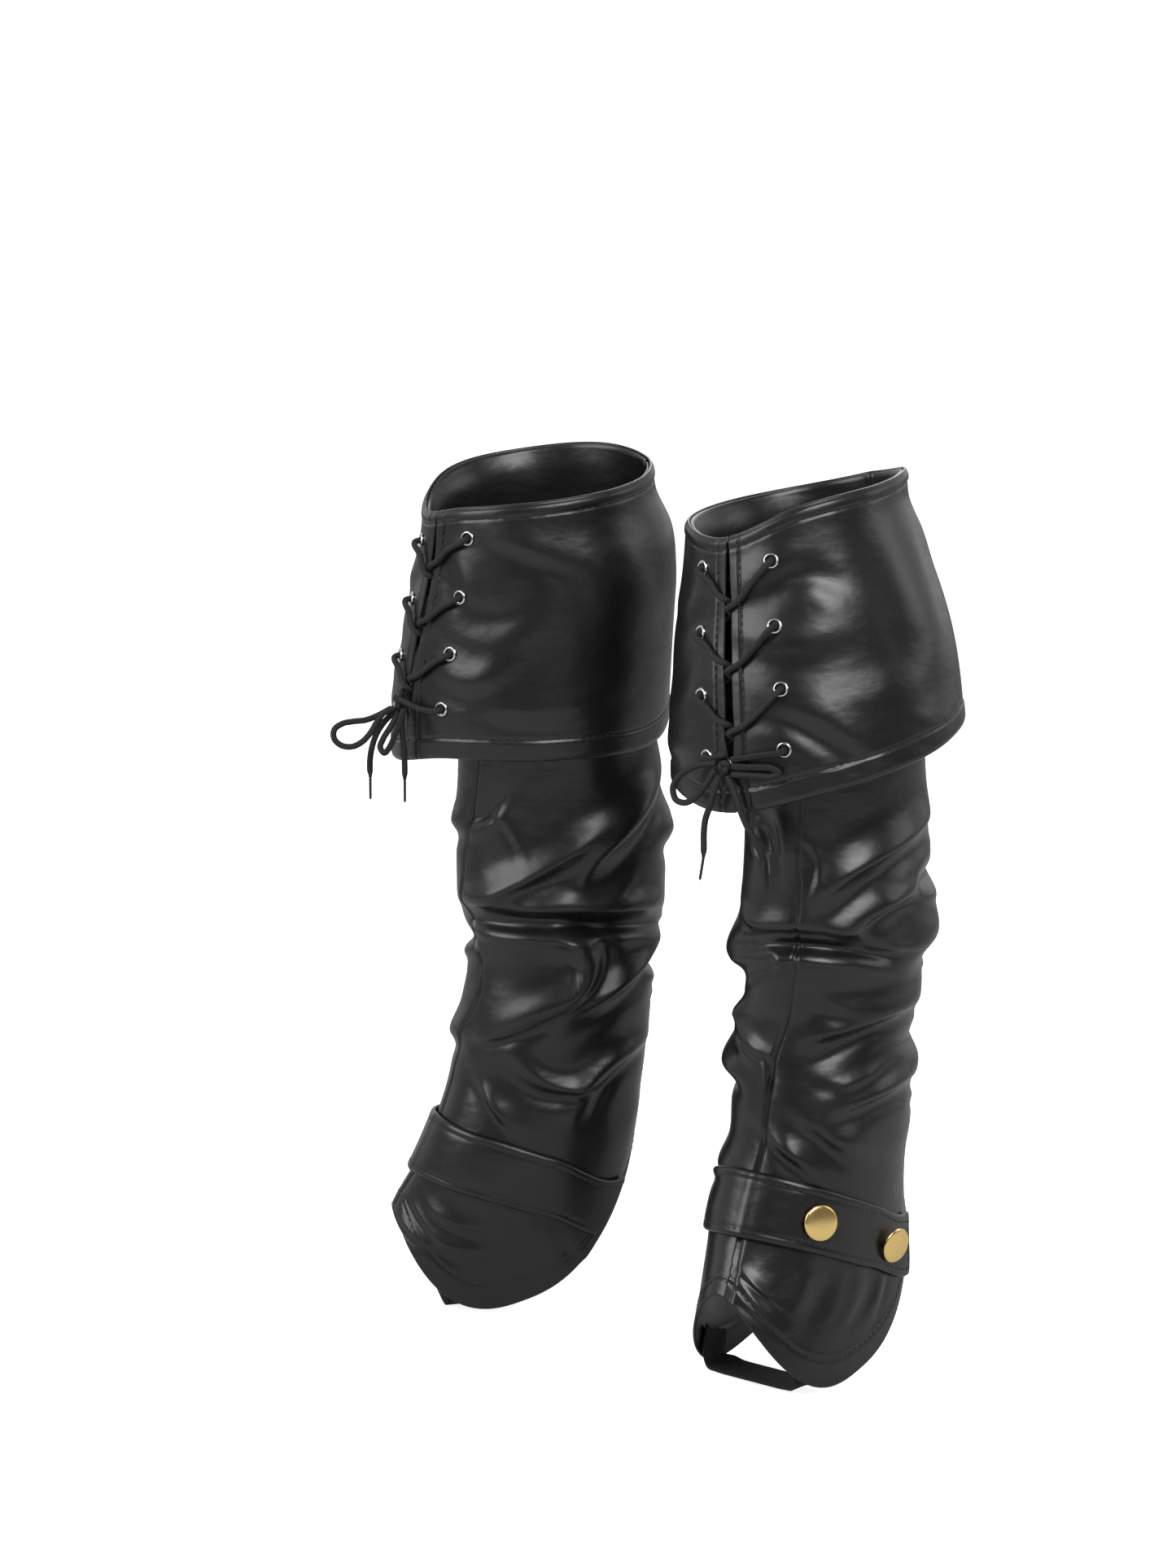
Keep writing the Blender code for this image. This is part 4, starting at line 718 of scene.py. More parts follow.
# %% Lacing, knots, loops, tails and their plastic tips
KNOT_CORD = 0.00155          # the knot is pulled tight, so its cord is a little thinner
KNOT_RADIUS, KNOT_HEIGHT = 0.00098, 0.00125
TIP_STEPS = np.array([0, 0.0004, 0.0012, 0.0060, 0.0112, 0.0120, 0.0124])
TIP_WIDTHS = AGLET_RADIUS * np.array([0.86, 1.04, 1.0, 0.98, 0.98, 0.86, 0.5])
for leg in STANCE:
    route = meet_knot(leg, meet_knot(leg, np.array(lacing_route(leg)))[::-1])
    path = stand(leg, smooth_path(route, 420))
    tube(f"{leg}_lacing_cord", path, LACE_RADIUS, f"{leg}_lacing", "lace")
    print(leg, "lacing", round(run_along(path)[-1], 3), "m")

    # A trefoil: two turns about the middle while the height swings three times
    t = np.linspace(0, 2 * np.pi, 150, endpoint=False)
    trefoil = np.stack([KNOT_RADIUS * (np.sin(t) + 2 * np.sin(2 * t)),
                        -KNOT_HEIGHT * np.sin(3 * t),
                        KNOT_RADIUS * (np.cos(t) - 2 * np.cos(2 * t))], -1)
    tube(f"{leg}_knot_cord", stand(leg, trefoil + np.array(KNOT[leg]) / 1000), KNOT_CORD,
         f"{leg}_knot", "lace", True)

    for letter, loop, length in zip("ab", LOOPS[leg], LOOP_LENGTHS[leg]):
        points = meet_knot(leg, meet_knot(leg, np.array(loop) / 1000)[::-1])[::-1]
        path = stand(leg, smooth_path(points, 90))
        node = f"{leg}_loop_{letter}"
        piece = tube(node + "_cord", path, LACE_RADIUS, node, "lace")
        print(node, round(run_along(path)[-1], 4), "m")

    for letter, tail, lean, length in zip("ab", TAILS[leg], AGLET_LEAN[leg], TAIL_LENGTHS[leg]):
        path = smooth_path(meet_knot(leg, np.array(tail)[::-1] / 1000)[::-1], 60)
        way = unit(np.array(lean))
        start = path[-1] + way * 0.0002
        narrow = LACE_RADIUS - (LACE_RADIUS - AGLET_RADIUS - 0.0001) * smooth_step(
            0.0045, 0.0, np.linspace(run_along(path)[-1], 0, 60))
        world = stand(leg, path)
        node, tip_node = f"{leg}_tail_{letter}", f"{leg}_aglet_{letter}"
        piece = tube(node + "_cord", world, narrow, node, "lace")
        tip = tube(tip_node + "_tip", stand(leg, start + TIP_STEPS[:, None] * way), TIP_WIDTHS,
                   tip_node, "aglet")
        print(node, round(run_along(world)[-1], 4), "m")

# %% [markdown]
# ## The panels
# Each shaft is two panels, outer and inner, that meet at a front seam and a back seam. Close to a
# seam the leather turns in, so each panel's edge dips a little. The columns of the grid crowd
# toward the seams and the rows crowd where the folds are, because that is where the shape turns
# fast. The lower edge is turned up and stitched, which shows as a band about 9 mm deep.

# %% Panels of the shaft and spat
PANEL_COLUMNS = 108
PANEL_LEVELS = ((0.0, 28), (0.28, 206), (0.86, 60), (1.0, 0))
DOWN_LENGTH = 0.185          # metres of leather per whole way down, near the lower edge
HEM_DEPTH, HEM_STITCH = 0.0090, 0.0022
BAND_EDGE = 0.0012           # over this length a hem or a facing rises from the leather
HEM_RISE, HEM_GROOVE, GROOVE_WIDTH = 0.00035, 0.0004, 0.0007
SEAM_DIP, SEAM_DIP_WIDTH = 0.0013, 0.0017


def levels(bands):
    """Row positions: evenly spaced inside each band."""
    at = [0.0]
    for (start, rows), (end, _) in zip(bands, bands[1:]):
        at.extend(np.linspace(start, end, rows + 1)[1:])
    return np.array(at)


def toward_edges(count, strength):
    """Shares from 0 to 1 that crowd toward both ends: t - strength times sine(2 pi t) / 2 pi."""
    t = np.linspace(0, 1, count + 1)
    return t - strength * np.sin(2 * np.pi * t) / (2 * np.pi)


def panel_surface(leg, side):
    """Grid of the panel's outer face, from the front seam to the back seam."""
    share, down = np.meshgrid(toward_edges(PANEL_COLUMNS, 0.75), levels(PANEL_LEVELS))
    height = shaft(leg, np.zeros_like(down[:, :1]), down[:, :1], False)[..., 2]
    seam = np.radians(curve_through(SEAM_ROWS[leg], height)[..., 0])
    inset = SEAM_GAP / 2 / FOLD_RADIUS
    start, end = seam + side * inset, side * (math.pi - inset)
    turn = start + (end - start) * share
    grid = shaft(leg, turn, down)
    normal = away_normals(grid)
    width = np.abs(end - start) * FOLD_RADIUS
    from_seam = np.minimum(share, 1 - share) * width
    to_hem = (1 - down) * DOWN_LENGTH
    dip = SEAM_DIP * bump_at(from_seam, SEAM_DIP_WIDTH)
    band = HEM_RISE * smooth_step(HEM_DEPTH, HEM_DEPTH - BAND_EDGE, to_hem)
    groove = HEM_GROOVE * bump_at(to_hem - HEM_DEPTH + HEM_STITCH, GROOVE_WIDTH)
    grid = grid + normal * (band - groove - dip)[..., None]
    flat = np.stack([turn * FOLD_RADIUS, 0.5 - down * 0.5], -1)
    return grid, grid - normal * WALL, flat


for leg in STANCE:
    for side, word in ((1, "outer"), (-1, "inner")):
        cloth(leg, word + "_panel", *panel_surface(leg, side))

# %% [markdown]
# ## The cuffs
# The cuff is a wide flared band turned down over the shaft. It is open in front, where each side
# of the slit has a stitched facing. Its lower edge is a hem about 11 mm deep. Both are drawn as
# a band that stands a little higher than the rest, with the groove that a row of stitches pulls
# in. The top edge rolls inward, because there the leather turns over the top of the shaft.

# %% Cuffs
CUFF_COLUMNS, CUFF_ROWS = 208, 100
CUFF_HEIGHT = 0.140
# Columns: depth of the band, width of its groove
CUFF_HEM, FACING, TOP_HEM = (0.0110, 0.0008), (0.0090, 0.0008), (0.0065, 0.0007)
BAND_RISE, BAND_GROOVE, PUCKER_DEPTH = 0.0006, 0.0004, 0.0004
TOP_ROLL, HEM_ROLL = (0.0013, 0.0016), (0.0006, 0.0012)      # how deep and how wide
PUCKER = 0.011               # metres from one pucker of the stitched grooves to the next


def cuff_face(leg, turn, down):
    """The cuff with its hem, top roll and facings, as lengths along and away from it."""
    grid = cuff(leg, turn, down)
    normal = away_normals(grid)
    to_hem, to_top = (1 - down) * CUFF_HEIGHT, down * CUFF_HEIGHT
    to_slit = np.abs(wrapped(np.degrees(turn - slit_turn(leg, down)))) * math.radians(CUFF_REACH)
    bands = ((to_hem, *CUFF_HEM), (to_slit, *FACING), (to_top, *TOP_HEM))
    raised = np.max([smooth_step(deep, deep - BAND_EDGE, away) for away, deep, _ in bands], axis=0)
    groove = np.max([bump_at(away - deep, wide) for away, deep, wide in bands], axis=0)
    pucker = 0.5 + 0.5 * np.sin(turn * CUFF_REACH * 2 * np.pi / PUCKER + 3 * np.sin(5 * turn))
    roll = TOP_ROLL[0] * bump_at(to_top, TOP_ROLL[1]) + HEM_ROLL[0] * bump_at(to_hem, HEM_ROLL[1])
    lift = BAND_RISE * raised - groove * (BAND_GROOVE + PUCKER_DEPTH * pucker) - roll
    return grid + normal * lift[..., None], normal


def cuff_surface(leg):
    """Grid round the cuff from one side of the slit to the other."""
    share, down = np.meshgrid(toward_edges(CUFF_COLUMNS, 0.72), toward_edges(CUFF_ROWS, 0.70))
    half = curve_through(SLIT_ROWS, down)[..., 0] / CUFF_REACH
    turn = slit_turn(leg, down) + half + (2 * np.pi - 2 * half) * share
    grid, normal = cuff_face(leg, turn, down)
    return grid, grid - normal * WALL, np.stack([turn * CUFF_REACH, -down * CUFF_HEIGHT], -1)


for leg in STANCE:
    cloth(leg, "cuff", *cuff_surface(leg))

# %% [markdown]
# ## The ankle straps
# The strap is a band of the same leather, 33 mm wide and cut double, laid round the ankle and
# stitched 3.5 mm inside its edges, with a square outer end. It is found on the leg by asking, for
# every angle, how far down the shaft reaches the strap's height. Outside its stitches the edge
# is a little puffed, and the groove of the stitches pulls it in.

# %% Straps
# Strap's middle line. Columns: angle, height on the left cover, height on the right cover
STRAP_LINE = (
    (-160, 0.0700, 0.0620), (-125, 0.0665, 0.0605), (-85, 0.0870, 0.0800), (-40, 0.0990, 0.0915),
    (0, 0.1040, 0.0960), (40, 0.0990, 0.0925), (80, 0.0860, 0.0800), (115, 0.0690, 0.0640),
    (160, 0.0700, 0.0640),
)
# Angle of the strap's ends at its top and lower edge: sewn end inside, square end outside
STRAP_ENDS = {"left": ((-140, -120), (131, 128)), "right": ((-140, -120), (131, 128))}
# Rear, middle and front line of the elastic: angle where it meets the lower edge, reach ahead
ELASTIC_EDGES = ((77.0, 0.0400), (66.0, 0.0520), (54.0, 0.0640))
BUTTON_TURNS = (53.0, 103.0)
BUTTON_TILT = {"left": (0.0, -11.0), "right": (0.0, 10.0)}   # degrees, round the upright
BUTTON_LOLL = (0.0, 10.0)    # degrees, the rear one hangs down a little on its shank
STRAP_SEAT, STRAP_THICKNESS, STRAP_STITCH = 0.0011, 0.0021, 0.0037
STRAP_SPAN = math.radians(251) * FOLD_RADIUS     # metres from end to end
STRAP_GROOVE, STRAP_CROWN, OVER_SEAM = (0.00045, 0.0007), (0.0005, 0.0015), (0.0007, 0.0022)
STRAP_COLUMNS, STRAP_ROWS = 200, 26
STRAP_ALONG, STRAP_ACROSS = toward_edges(STRAP_COLUMNS, 0.6), toward_edges(STRAP_ROWS, 0.6)


def strap_middle(leg, degrees):
    """Height of the strap's middle line at an angle."""
    return curve_through(STRAP_LINE, degrees)[..., 0 if leg == "left" else 1]


def down_at(leg, turn, height):
    """Way down at which the shaft reaches a height: the range is halved 18 times."""
    low, high = np.full(turn.shape, 0.5), np.ones(turn.shape)
    for _ in range(18):
        middle = (low + high) / 2
        above = shaft(leg, turn, middle, False)[..., 2] > height
        low, high = np.where(above, middle, low), np.where(above, high, middle)
    return low


def strap_surface(leg):
    """Band round the ankle: columns from the sewn inner end to the square outer end."""
    across, t = np.meshgrid(STRAP_ACROSS, STRAP_ALONG, indexing="ij")
    (in_top, in_low), (out_top, out_low) = STRAP_ENDS[leg]
    start, end = in_top + (in_low - in_top) * across, out_top + (out_low - out_top) * across
    degrees = start + (end - start) * t
    height = strap_middle(leg, degrees) + STRAP_HALF_WIDTH * (1 - 2 * across)
    turn = np.radians(degrees)
    seat = shaft(leg, turn, down_at(leg, turn, height), False)
    normal = away_normals(seat)
    edge = np.minimum(across, 1 - across) * 2 * STRAP_HALF_WIDTH
    inside = np.minimum(edge, (1 - t) * STRAP_SPAN)
    groove = STRAP_GROOVE[0] * bump_at(inside - STRAP_STITCH, STRAP_GROOVE[1])
    from_seam = wrapped(degrees - curve_through(SEAM_ROWS[leg], height)[..., 0])
    over_seam = OVER_SEAM[0] * bump_at(from_seam * math.radians(FOLD_RADIUS), OVER_SEAM[1])
    crown = STRAP_CROWN[0] * smooth_step(0, STRAP_CROWN[1], inside)
    lift = STRAP_SEAT + STRAP_THICKNESS + crown - groove + over_seam
    flat = np.stack([degrees * math.radians(FOLD_RADIUS), across * 2 * STRAP_HALF_WIDTH], -1)
    return seat + normal * lift[..., None], seat + normal * STRAP_SEAT, flat, normal


for leg in STANCE:
    cloth(leg, "ankle_strap", *strap_surface(leg)[:3])

# %% [markdown]
# ## The elastics under the foot
# A flat elastic band is sewn inside both lower edges and passes under the arch of the foot, so
# that the spat stays down. Three lines across the leg give its rear edge, middle and front edge,
# and a smooth curve through each line's points gives the band.

# %% Elastics
ELASTIC_THICKNESS = 0.0014
ELASTIC_COLUMNS, ELASTIC_ROWS = 121, 15
COLUMN_STEP, ROW_STEP = 0.0014, 0.0017       # metres from one to the next, for the weave
SEWN_ABOVE_HEM = (0.0150, 0.0080)            # heights of the sewn ends inside the spat
ELASTIC_LOWEST = 0.0060                      # where it leaves the spat
UNDER_FOOT = ((0.0310, 0.0045), (0.0240, 0.0030), (0.0120, 0.0028), (0.0, 0.0028))  # out, up


def elastic_surface(leg):
    """Band from inside one lower edge to inside the other, rising a little at its ends."""
    lines, ways = [], []
    for degrees, reach in ELASTIC_EDGES:
        hem = shaft(leg, np.radians([degrees]), np.ones(1), False)[0, 2]
        points, inward = [], []
        sewn = [hem + above for above in SEWN_ABOVE_HEM]
        for height in (*sewn, max(hem + 0.0010, ELASTIC_LOWEST)):
            for side in (-1, 1):
                turn = np.radians([side * degrees])
                down = down_at(leg, turn, np.array([height]))
                normal = outward(lambda *a: shaft(*a, False), leg, turn, down)[0]
                points.append(shaft(leg, turn, down, False)[0] - normal * (WALL + 0.0007))
                inward.append(-normal)
        for out, up in UNDER_FOOT[:-1]:
            for side in (-1, 1):
                points.append(np.array([side * out, reach, up]))
                inward.append(np.array([-side * (0.7 if out > 0.03 else 0.2), 0, 1.0]))
        points.append(np.array([0, reach, UNDER_FOOT[-1][1]]))
        inward.append(np.array([0, 0, 1.0]))
        order = [0, 2, 4, 6, 8, 10, 12, 11, 9, 7, 5, 3, 1]
        lines.append(np.array(points)[order])
        ways.append(np.array(inward)[order])
    lines, ways = np.array(lines), np.array(ways)
    knots = np.arange(lines.shape[1])
    fine = np.linspace(0, knots[-1], ELASTIC_COLUMNS)
    rows = []
    for data in (lines, ways):
        table = np.column_stack([knots, data.transpose(1, 0, 2).reshape(len(knots), -1)])
        along = curve_through(table, fine).reshape(len(fine), 3, 3).transpose(1, 0, 2)
        table = np.column_stack([[0, 0.5, 1], along.reshape(3, -1)])
        wide = curve_through(table, np.linspace(0, 1, ELASTIC_ROWS))
        rows.append(wide.reshape(ELASTIC_ROWS, len(fine), 3))
    under, way = rows[0], unit(rows[1])
    flat = np.stack(np.meshgrid(np.arange(len(fine)) * COLUMN_STEP,
                                np.arange(ELASTIC_ROWS) * ROW_STEP), -1)
    return under, under + way * ELASTIC_THICKNESS, flat


for leg in STANCE:
    cloth(leg, "foot_elastic", *elastic_surface(leg), "elastic")

# %% [markdown]
# ## Metal: eyelets and buttons
# An eyelet is a rolled nickel ring with a short barrel that goes through the leather. A button
# is a thin gold disc with a soft dome and a rounded edge, standing on a shank. Both are profiles
# turned about an axis, so each is a grid of profile times angle, placed by a frame of three
# axes: right, up and away from the leather.

# %% Turned metal


def frame_on(leg, point, normal):
    """Origin and three world axes, the third along a direction of the leg frame."""
    z = unit(stand(leg, normal) - stand(leg, np.zeros(3)))
    y = unit(np.array([0, 0, 1.0]) - z * z[2])
    return stand(leg, point), np.array([np.cross(y, z), y, z])


def turned(name, node, slot, place, profile, steps, closed):
    """Profile of radius and height in metres, turned: x = r cos a, y = r sin a, z = height."""
    origin, axes = place
    radius, height = np.array(profile).T
    angle = np.linspace(0, 2 * np.pi, steps, endpoint=False)
    ring = np.stack([np.outer(radius, np.cos(angle)), np.outer(radius, np.sin(angle)),
                     np.repeat(height[:, None], steps, 1)], -1)
    number = np.arange(ring.shape[0] * steps).reshape(-1, steps)
    if not closed:
        number[0], number[-1] = number[0, 0], number[-1, 0]
    quads = cells(number, True, closed)
    faces = np.concatenate([quads[:, [0, 1, 2]], quads[:, [0, 2, 3]]])
    faces = faces[(faces[:, 0] != faces[:, 1]) & (faces[:, 1] != faces[:, 2])
                  & (faces[:, 0] != faces[:, 2])]
    used, faces = np.unique(faces, return_inverse=True)
    points = ring.reshape(-1, 3)[used] @ axes + origin
    return new_piece(name, points, faces.reshape(-1, 3), None, node, slot)


EYELET_PROFILE = np.array((
    (2.75, 0.55), (3.0, 1.10), (3.45, 1.32), (3.9, 1.10), (4.22, 0.55), (4.15, 0.12), (3.3, 0.10),
    (2.80, -0.2), (2.70, -1.1), (2.85, -1.9), (2.55, -2.0), (2.45, -1.0), (2.50, 0.0),
    (2.75, 0.55))) / 1000
for leg in STANCE:
    for number in range(4):
        for side, word in ((1, "outer"), (-1, "inner")):
            node = f"{leg}_eyelet_{word}_{number + 1}"
            turned(node + "_ring", node, "nickel", frame_on(leg, *eyelet_place(leg, side, number)),
                   smooth_curve(EYELET_PROFILE, 33)[:-1], 36, True)
print("eyelets:", sum(name.endswith("_ring") for name in built))

# %% Buttons
BUTTON_DOME = np.array((
    (0, 5.60), (3.0, 5.52), (6.0, 5.24), (8.4, 4.82), (9.5, 4.42), (9.95, 3.85), (9.75, 3.25),
    (9.0, 2.92), (5.0, 2.80), (2.9, 2.75))) / 1000
BUTTON_SHANK = np.array(((2.6, 2.3), (2.55, 1.2), (2.6, 0.25), (2.3, 0.02), (0, 0.0))) / 1000
BUTTON_PROFILE = np.concatenate([smooth_curve(BUTTON_DOME, 30), smooth_curve(BUTTON_SHANK, 10)])
BUTTON_PROFILE[0, 0] = BUTTON_PROFILE[-1, 0] = 0.0
BUTTON_DROP, BUTTON_GAP = 0.0005, 0.0003     # below the strap's middle line, and off the strap
BUTTON_RISE = 0.0026                         # what a tilted shank's edge needs, times the sine
for leg in STANCE:
    for number, degrees in enumerate(BUTTON_TURNS):
        turn = np.radians([degrees])
        height = strap_middle(leg, np.array([degrees])) - BUTTON_DROP
        down = down_at(leg, turn, height)
        normal = outward(lambda *a: shaft(*a, False), leg, turn, down)[0]
        tilt = math.radians(BUTTON_TILT[leg][number])
        lift = STRAP_SEAT + STRAP_THICKNESS + BUTTON_GAP + BUTTON_RISE * abs(math.sin(tilt))
        origin, axes = frame_on(leg, shaft(leg, turn, down, False)[0] + normal * lift, normal)
        lean = np.array([[math.cos(tilt), 0, -math.sin(tilt)], [0, 1, 0],
                         [math.sin(tilt), 0, math.cos(tilt)]])
        loll = math.radians(BUTTON_LOLL[number])
        lean = np.array([[1, 0, 0], [0, math.cos(loll), math.sin(loll)],
                         [0, -math.sin(loll), math.cos(loll)]]) @ lean
        node = f"{leg}_button_{('front', 'rear')[number]}"
        turned(node + "_disc", node, "gold", (origin, lean @ axes), BUTTON_PROFILE, 64, False)
print("buttons:", sum(name.endswith("_disc") for name in built))

# %% [markdown]
# ## Stitches
# The seams are sewn with black thread. Bump alone would vanish close up, so every stitch is a
# small curved capsule of 28 faces that dips into the leather at both ends. All stitches of a
# cover are one mesh, worked out as one array: stitch number, station along it, point round it.

# %% Rows of stitches
STITCH_PITCH, STITCH_LENGTH, THREAD_RADIUS = 0.0043, 0.0031, 0.00040
STITCH_RISE, STITCH_DIP = 0.00022, 0.00050   # above the leather in the middle, sunk at the ends
STATIONS, STITCH_SIDES = 5, 6
SLIT_ROW = (0.02, 0.985)     # share of the cuff's height where the rows beside the slit run
ROUND_ROW = 0.15             # radians beside the slit where the rows round the cuff end


def row_of_stitches(points, normals):
    """Corners of the stitches along a line: centre + along + r(cos v across + sin v normal)."""
    run = run_along(points)
    centres = np.arange(STITCH_PITCH / 2, run[-1], STITCH_PITCH)
    s = np.linspace(-1, 1, STATIONS)
    where = centres[:, None] + s * STITCH_LENGTH / 2
    middle, normal = at_distances(points, run, where), unit(at_distances(normals, run, where))
    # Past the end of a row both places coincide, and the floor keeps their direction at zero
    along = (at_distances(points, run, where + 0.0002)
             - at_distances(points, run, where - 0.0002))
    along /= np.maximum(np.linalg.norm(along, axis=-1, keepdims=True), 1e-9)
    across = np.cross(normal, along)
    radius = THREAD_RADIUS * (0.25 + 0.75 * (1 - s ** 2) ** 0.5)
    lift = STITCH_RISE - STITCH_DIP * np.abs(s) ** 3
    v = np.linspace(0, 2 * np.pi, STITCH_SIDES, endpoint=False)
    ring = (np.cos(v)[:, None] * across[:, :, None] + np.sin(v)[:, None] * normal[:, :, None])
    return (middle + normal * lift[:, None])[:, :, None] + ring * radius[:, None, None]


def sew(leg, place, rows):
    """One mesh of all the stitches in the rows."""
    corners = np.concatenate([row_of_stitches(*row) for row in rows])
    corner_count = STATIONS * STITCH_SIDES
    number = np.arange(corner_count).reshape(STATIONS, STITCH_SIDES)
    caps = np.array([[0, 3, 2, 1], [0, 5, 4, 3], [24, 25, 26, 27], [24, 27, 28, 29]])
    one = np.concatenate([cells(number, True), caps])
    faces = (one[None] + corner_count * np.arange(len(corners))[:, None, None]).reshape(-1, 4)
    piece = new_piece(f"{leg}_{place}_stitches", stand(leg, corners.reshape(-1, 3)), faces,
                      slot="lace")
    print(piece.name, "stitches:", len(corners))


for leg in STANCE:
    rows = []
    outer, _, _, normal = strap_surface(leg)
    for target in (STRAP_STITCH, 2 * STRAP_HALF_WIDTH - STRAP_STITCH):
        k = int(np.abs(STRAP_ACROSS * 2 * STRAP_HALF_WIDTH - target).argmin())
        rows.append((outer[k, 6:-7], normal[k, 6:-7]))
    k = int(np.abs((1 - STRAP_ALONG) * STRAP_SPAN - STRAP_STITCH).argmin())
    rows.append((outer[3:-3, k], normal[3:-3, k]))
    sew(leg, "strap", rows)

    rows = []
    for side in (1, -1):
        down = np.linspace(*SLIT_ROW, 120)
        turn = slit_turn(leg, down) + side * (FACING[0] + 0.0002) / CUFF_REACH
        rows.append((turn, down))
    edge = np.linspace(ROUND_ROW, 2 * np.pi - ROUND_ROW, 420)
    for level in (1 - CUFF_HEM[0] / CUFF_HEIGHT, TOP_HEM[0] / CUFF_HEIGHT):
        down = np.full(edge.shape, level)
        rows.append((slit_turn(leg, down) + edge, down))
    lines = []
    for turn, down in rows:
        beside = np.array([[-BESIDE], [0.0], [BESIDE]])
        face, normal = cuff_face(leg, turn + 0 * beside, down + beside)
        lines.append((face[1], normal[1]))
    sew(leg, "cuff", lines)

    rows = []
    for side in (1, -1):
        outer, _, _ = panel_surface(leg, side)
        normal = away_normals(outer)
        down = levels(PANEL_LEVELS)
        k = int(np.abs((1 - down) * DOWN_LENGTH - (HEM_DEPTH - HEM_STITCH)).argmin())
        rows.append((outer[k, 2:-3], normal[k, 2:-3]))
    sew(leg, "hem", rows)

# %% [markdown]
# ## Materials
# Every material is a graph of nodes. To write its sums as plain expressions, a small class wraps
# a socket and turns +, - and * into Math nodes. Any other node comes from one method that takes
# its type, its settings and the values of its sockets. The sky is such a graph as well.

# %% Expressions that become nodes


class Wire:
    """A socket that can stand in a sum, a difference or a product."""

    def __init__(self, graph, socket):
        self.graph, self.socket = graph, socket

    def __add__(self, other):
        return self.graph.maths("ADD", self, other)

    def __sub__(self, other):
        return self.graph.maths("SUBTRACT", self, other)

    def __mul__(self, other):
        return self.graph.maths("MULTIPLY", self, other)


class Graph:
    """A tree of nodes; node() adds any node to it, and the other methods add common ones."""

    def __init__(self, tree):
        self.tree = tree

    def node(self, kind, settings=None, values=None, output=0):
        """Add a node: settings first, then a value or a wire for each named or numbered socket."""
        node = self.tree.nodes.new(kind)
        for key, value in (settings or {}).items():
            setattr(node, key, value)
        for key, value in (values or {}).items():
            if isinstance(value, Wire):
                self.tree.links.new(value.socket, node.inputs[key])
            else:
                node.inputs[key].default_value = value
        return Wire(self, node.outputs[output])

    def maths(self, operation, first, second=0.5):
        return self.node("ShaderNodeMath", {"operation": operation}, {0: first, 1: second})

    def place(self, output=3, stretch=None):
        """The object's own coordinates, or another output, drawn out along each axis."""
        here = self.node("ShaderNodeTexCoord", output=output)
        if stretch is None:
            return here
        return self.node("ShaderNodeMapping", {}, {"Vector": here, "Scale": stretch})

    def noise(self, where, scale, detail=3.0, rough=0.5):
        return self.node("ShaderNodeTexNoise", {}, {"Vector": where, "Scale": scale,
                                                    "Detail": detail, "Roughness": rough})

    def between(self, share, low, high):
        """Number that runs from low to high as share runs from 0 to 1, held at both ends."""
        return self.node("ShaderNodeMapRange", {}, {"Value": share, 3: low, 4: high})

    def blend(self, share, first, second):
        """Colour mixed from two by share."""
        return self.node("ShaderNodeMix", {"data_type": "RGBA"},
                         {0: share, 6: (*first, 1), 7: (*second, 1)}, 2)


class Finish(Graph):
    """A material with a Principled shader."""

    def __init__(self, name, **fixed):
        self.material = bpy.data.materials.new(name)
        self.material.use_nodes = True
        super().__init__(self.material.node_tree)
        self.shader = self.tree.nodes["Principled BSDF"]
        for socket, value in fixed.items():
            self.shader.inputs[socket.replace("_", " ")].default_value = value

    def feed(self, socket, wire):
        self.tree.links.new(wire.socket, self.shader.inputs[socket])

    def dress(self, tone, first, second, wear, smooth, rough, height):
        """Colour by tone, roughness by wear, and bump from a height in metres."""
        self.feed("Base Color", self.blend(tone, first, second))
        self.feed("Roughness", self.between(wear, smooth, rough))
        self.feed("Normal", self.node("ShaderNodeBump", {}, {"Strength": 1.0, "Distance": 1.0,
                                                             "Height": height}))


# %% [markdown]
# ## Faux leather
# Glossy black faux leather is a cloth with a smooth coloured skin. It is nearly black, and what
# the eye reads is its gloss: a soft reflection, sharper where the skin is stretched and duller
# where it was handled. Four scales make it: a very fine pebble grain, small soft wrinkles that
# run round the leg more than up it, wider swells, and slow changes of roughness.

# %% Glossy black faux leather
vinyl = Finish("black_faux_leather", Coat_Weight=0.16, Coat_Roughness=0.26)
here = vinyl.place()
slow, quick = vinyl.noise(here, 22.0, 2.0), vinyl.noise(here, 240.0, 3.0)
pebble = vinyl.node("ShaderNodeTexVoronoi", {"feature": "SMOOTH_F1"},
                    {"Vector": here, "Scale": 1100.0, "Smoothness": 0.6})
wrinkle = vinyl.noise(vinyl.place(stretch=(1.0, 1.0, 1.7)), 55.0, 2.5, 0.45)
swell = vinyl.noise(here, 27.0, 1.0, 0.4)
vinyl.dress(slow, (0.0042, 0.0040, 0.0043), (0.0085, 0.0080, 0.0083),
            slow * 0.7 + quick * 0.3, 0.24, 0.42,
            pebble * 0.000020 + wrinkle * 0.00062 + quick * 0.00002 + swell * 0.0011)

# %% [markdown]
# ## Lace, thread and elastic
# The lace is braided: two sets of yarns cross at a slant. In the lace's own UV map one way runs
# along it in metres and the other once round it, so two slanted waves give the diamonds.
# The elastic has ribs of rubber across a woven ground.

# %% Textile finishes
TURN = 2 * math.pi
BRAID_PITCH, BRAID_YARNS = 0.0026, 5
RIB_PITCH, WEFT_PITCH = 0.0017, 0.0011


def along_and_across(finish):
    """The two ways of the UV map, both in metres except round a cord, where a turn is 1."""
    split = finish.node("ShaderNodeSeparateXYZ", {},
                        {0: finish.node("ShaderNodeUVMap", {"uv_map": "UVMap"})})
    return split, Wire(finish, split.socket.node.outputs[1])


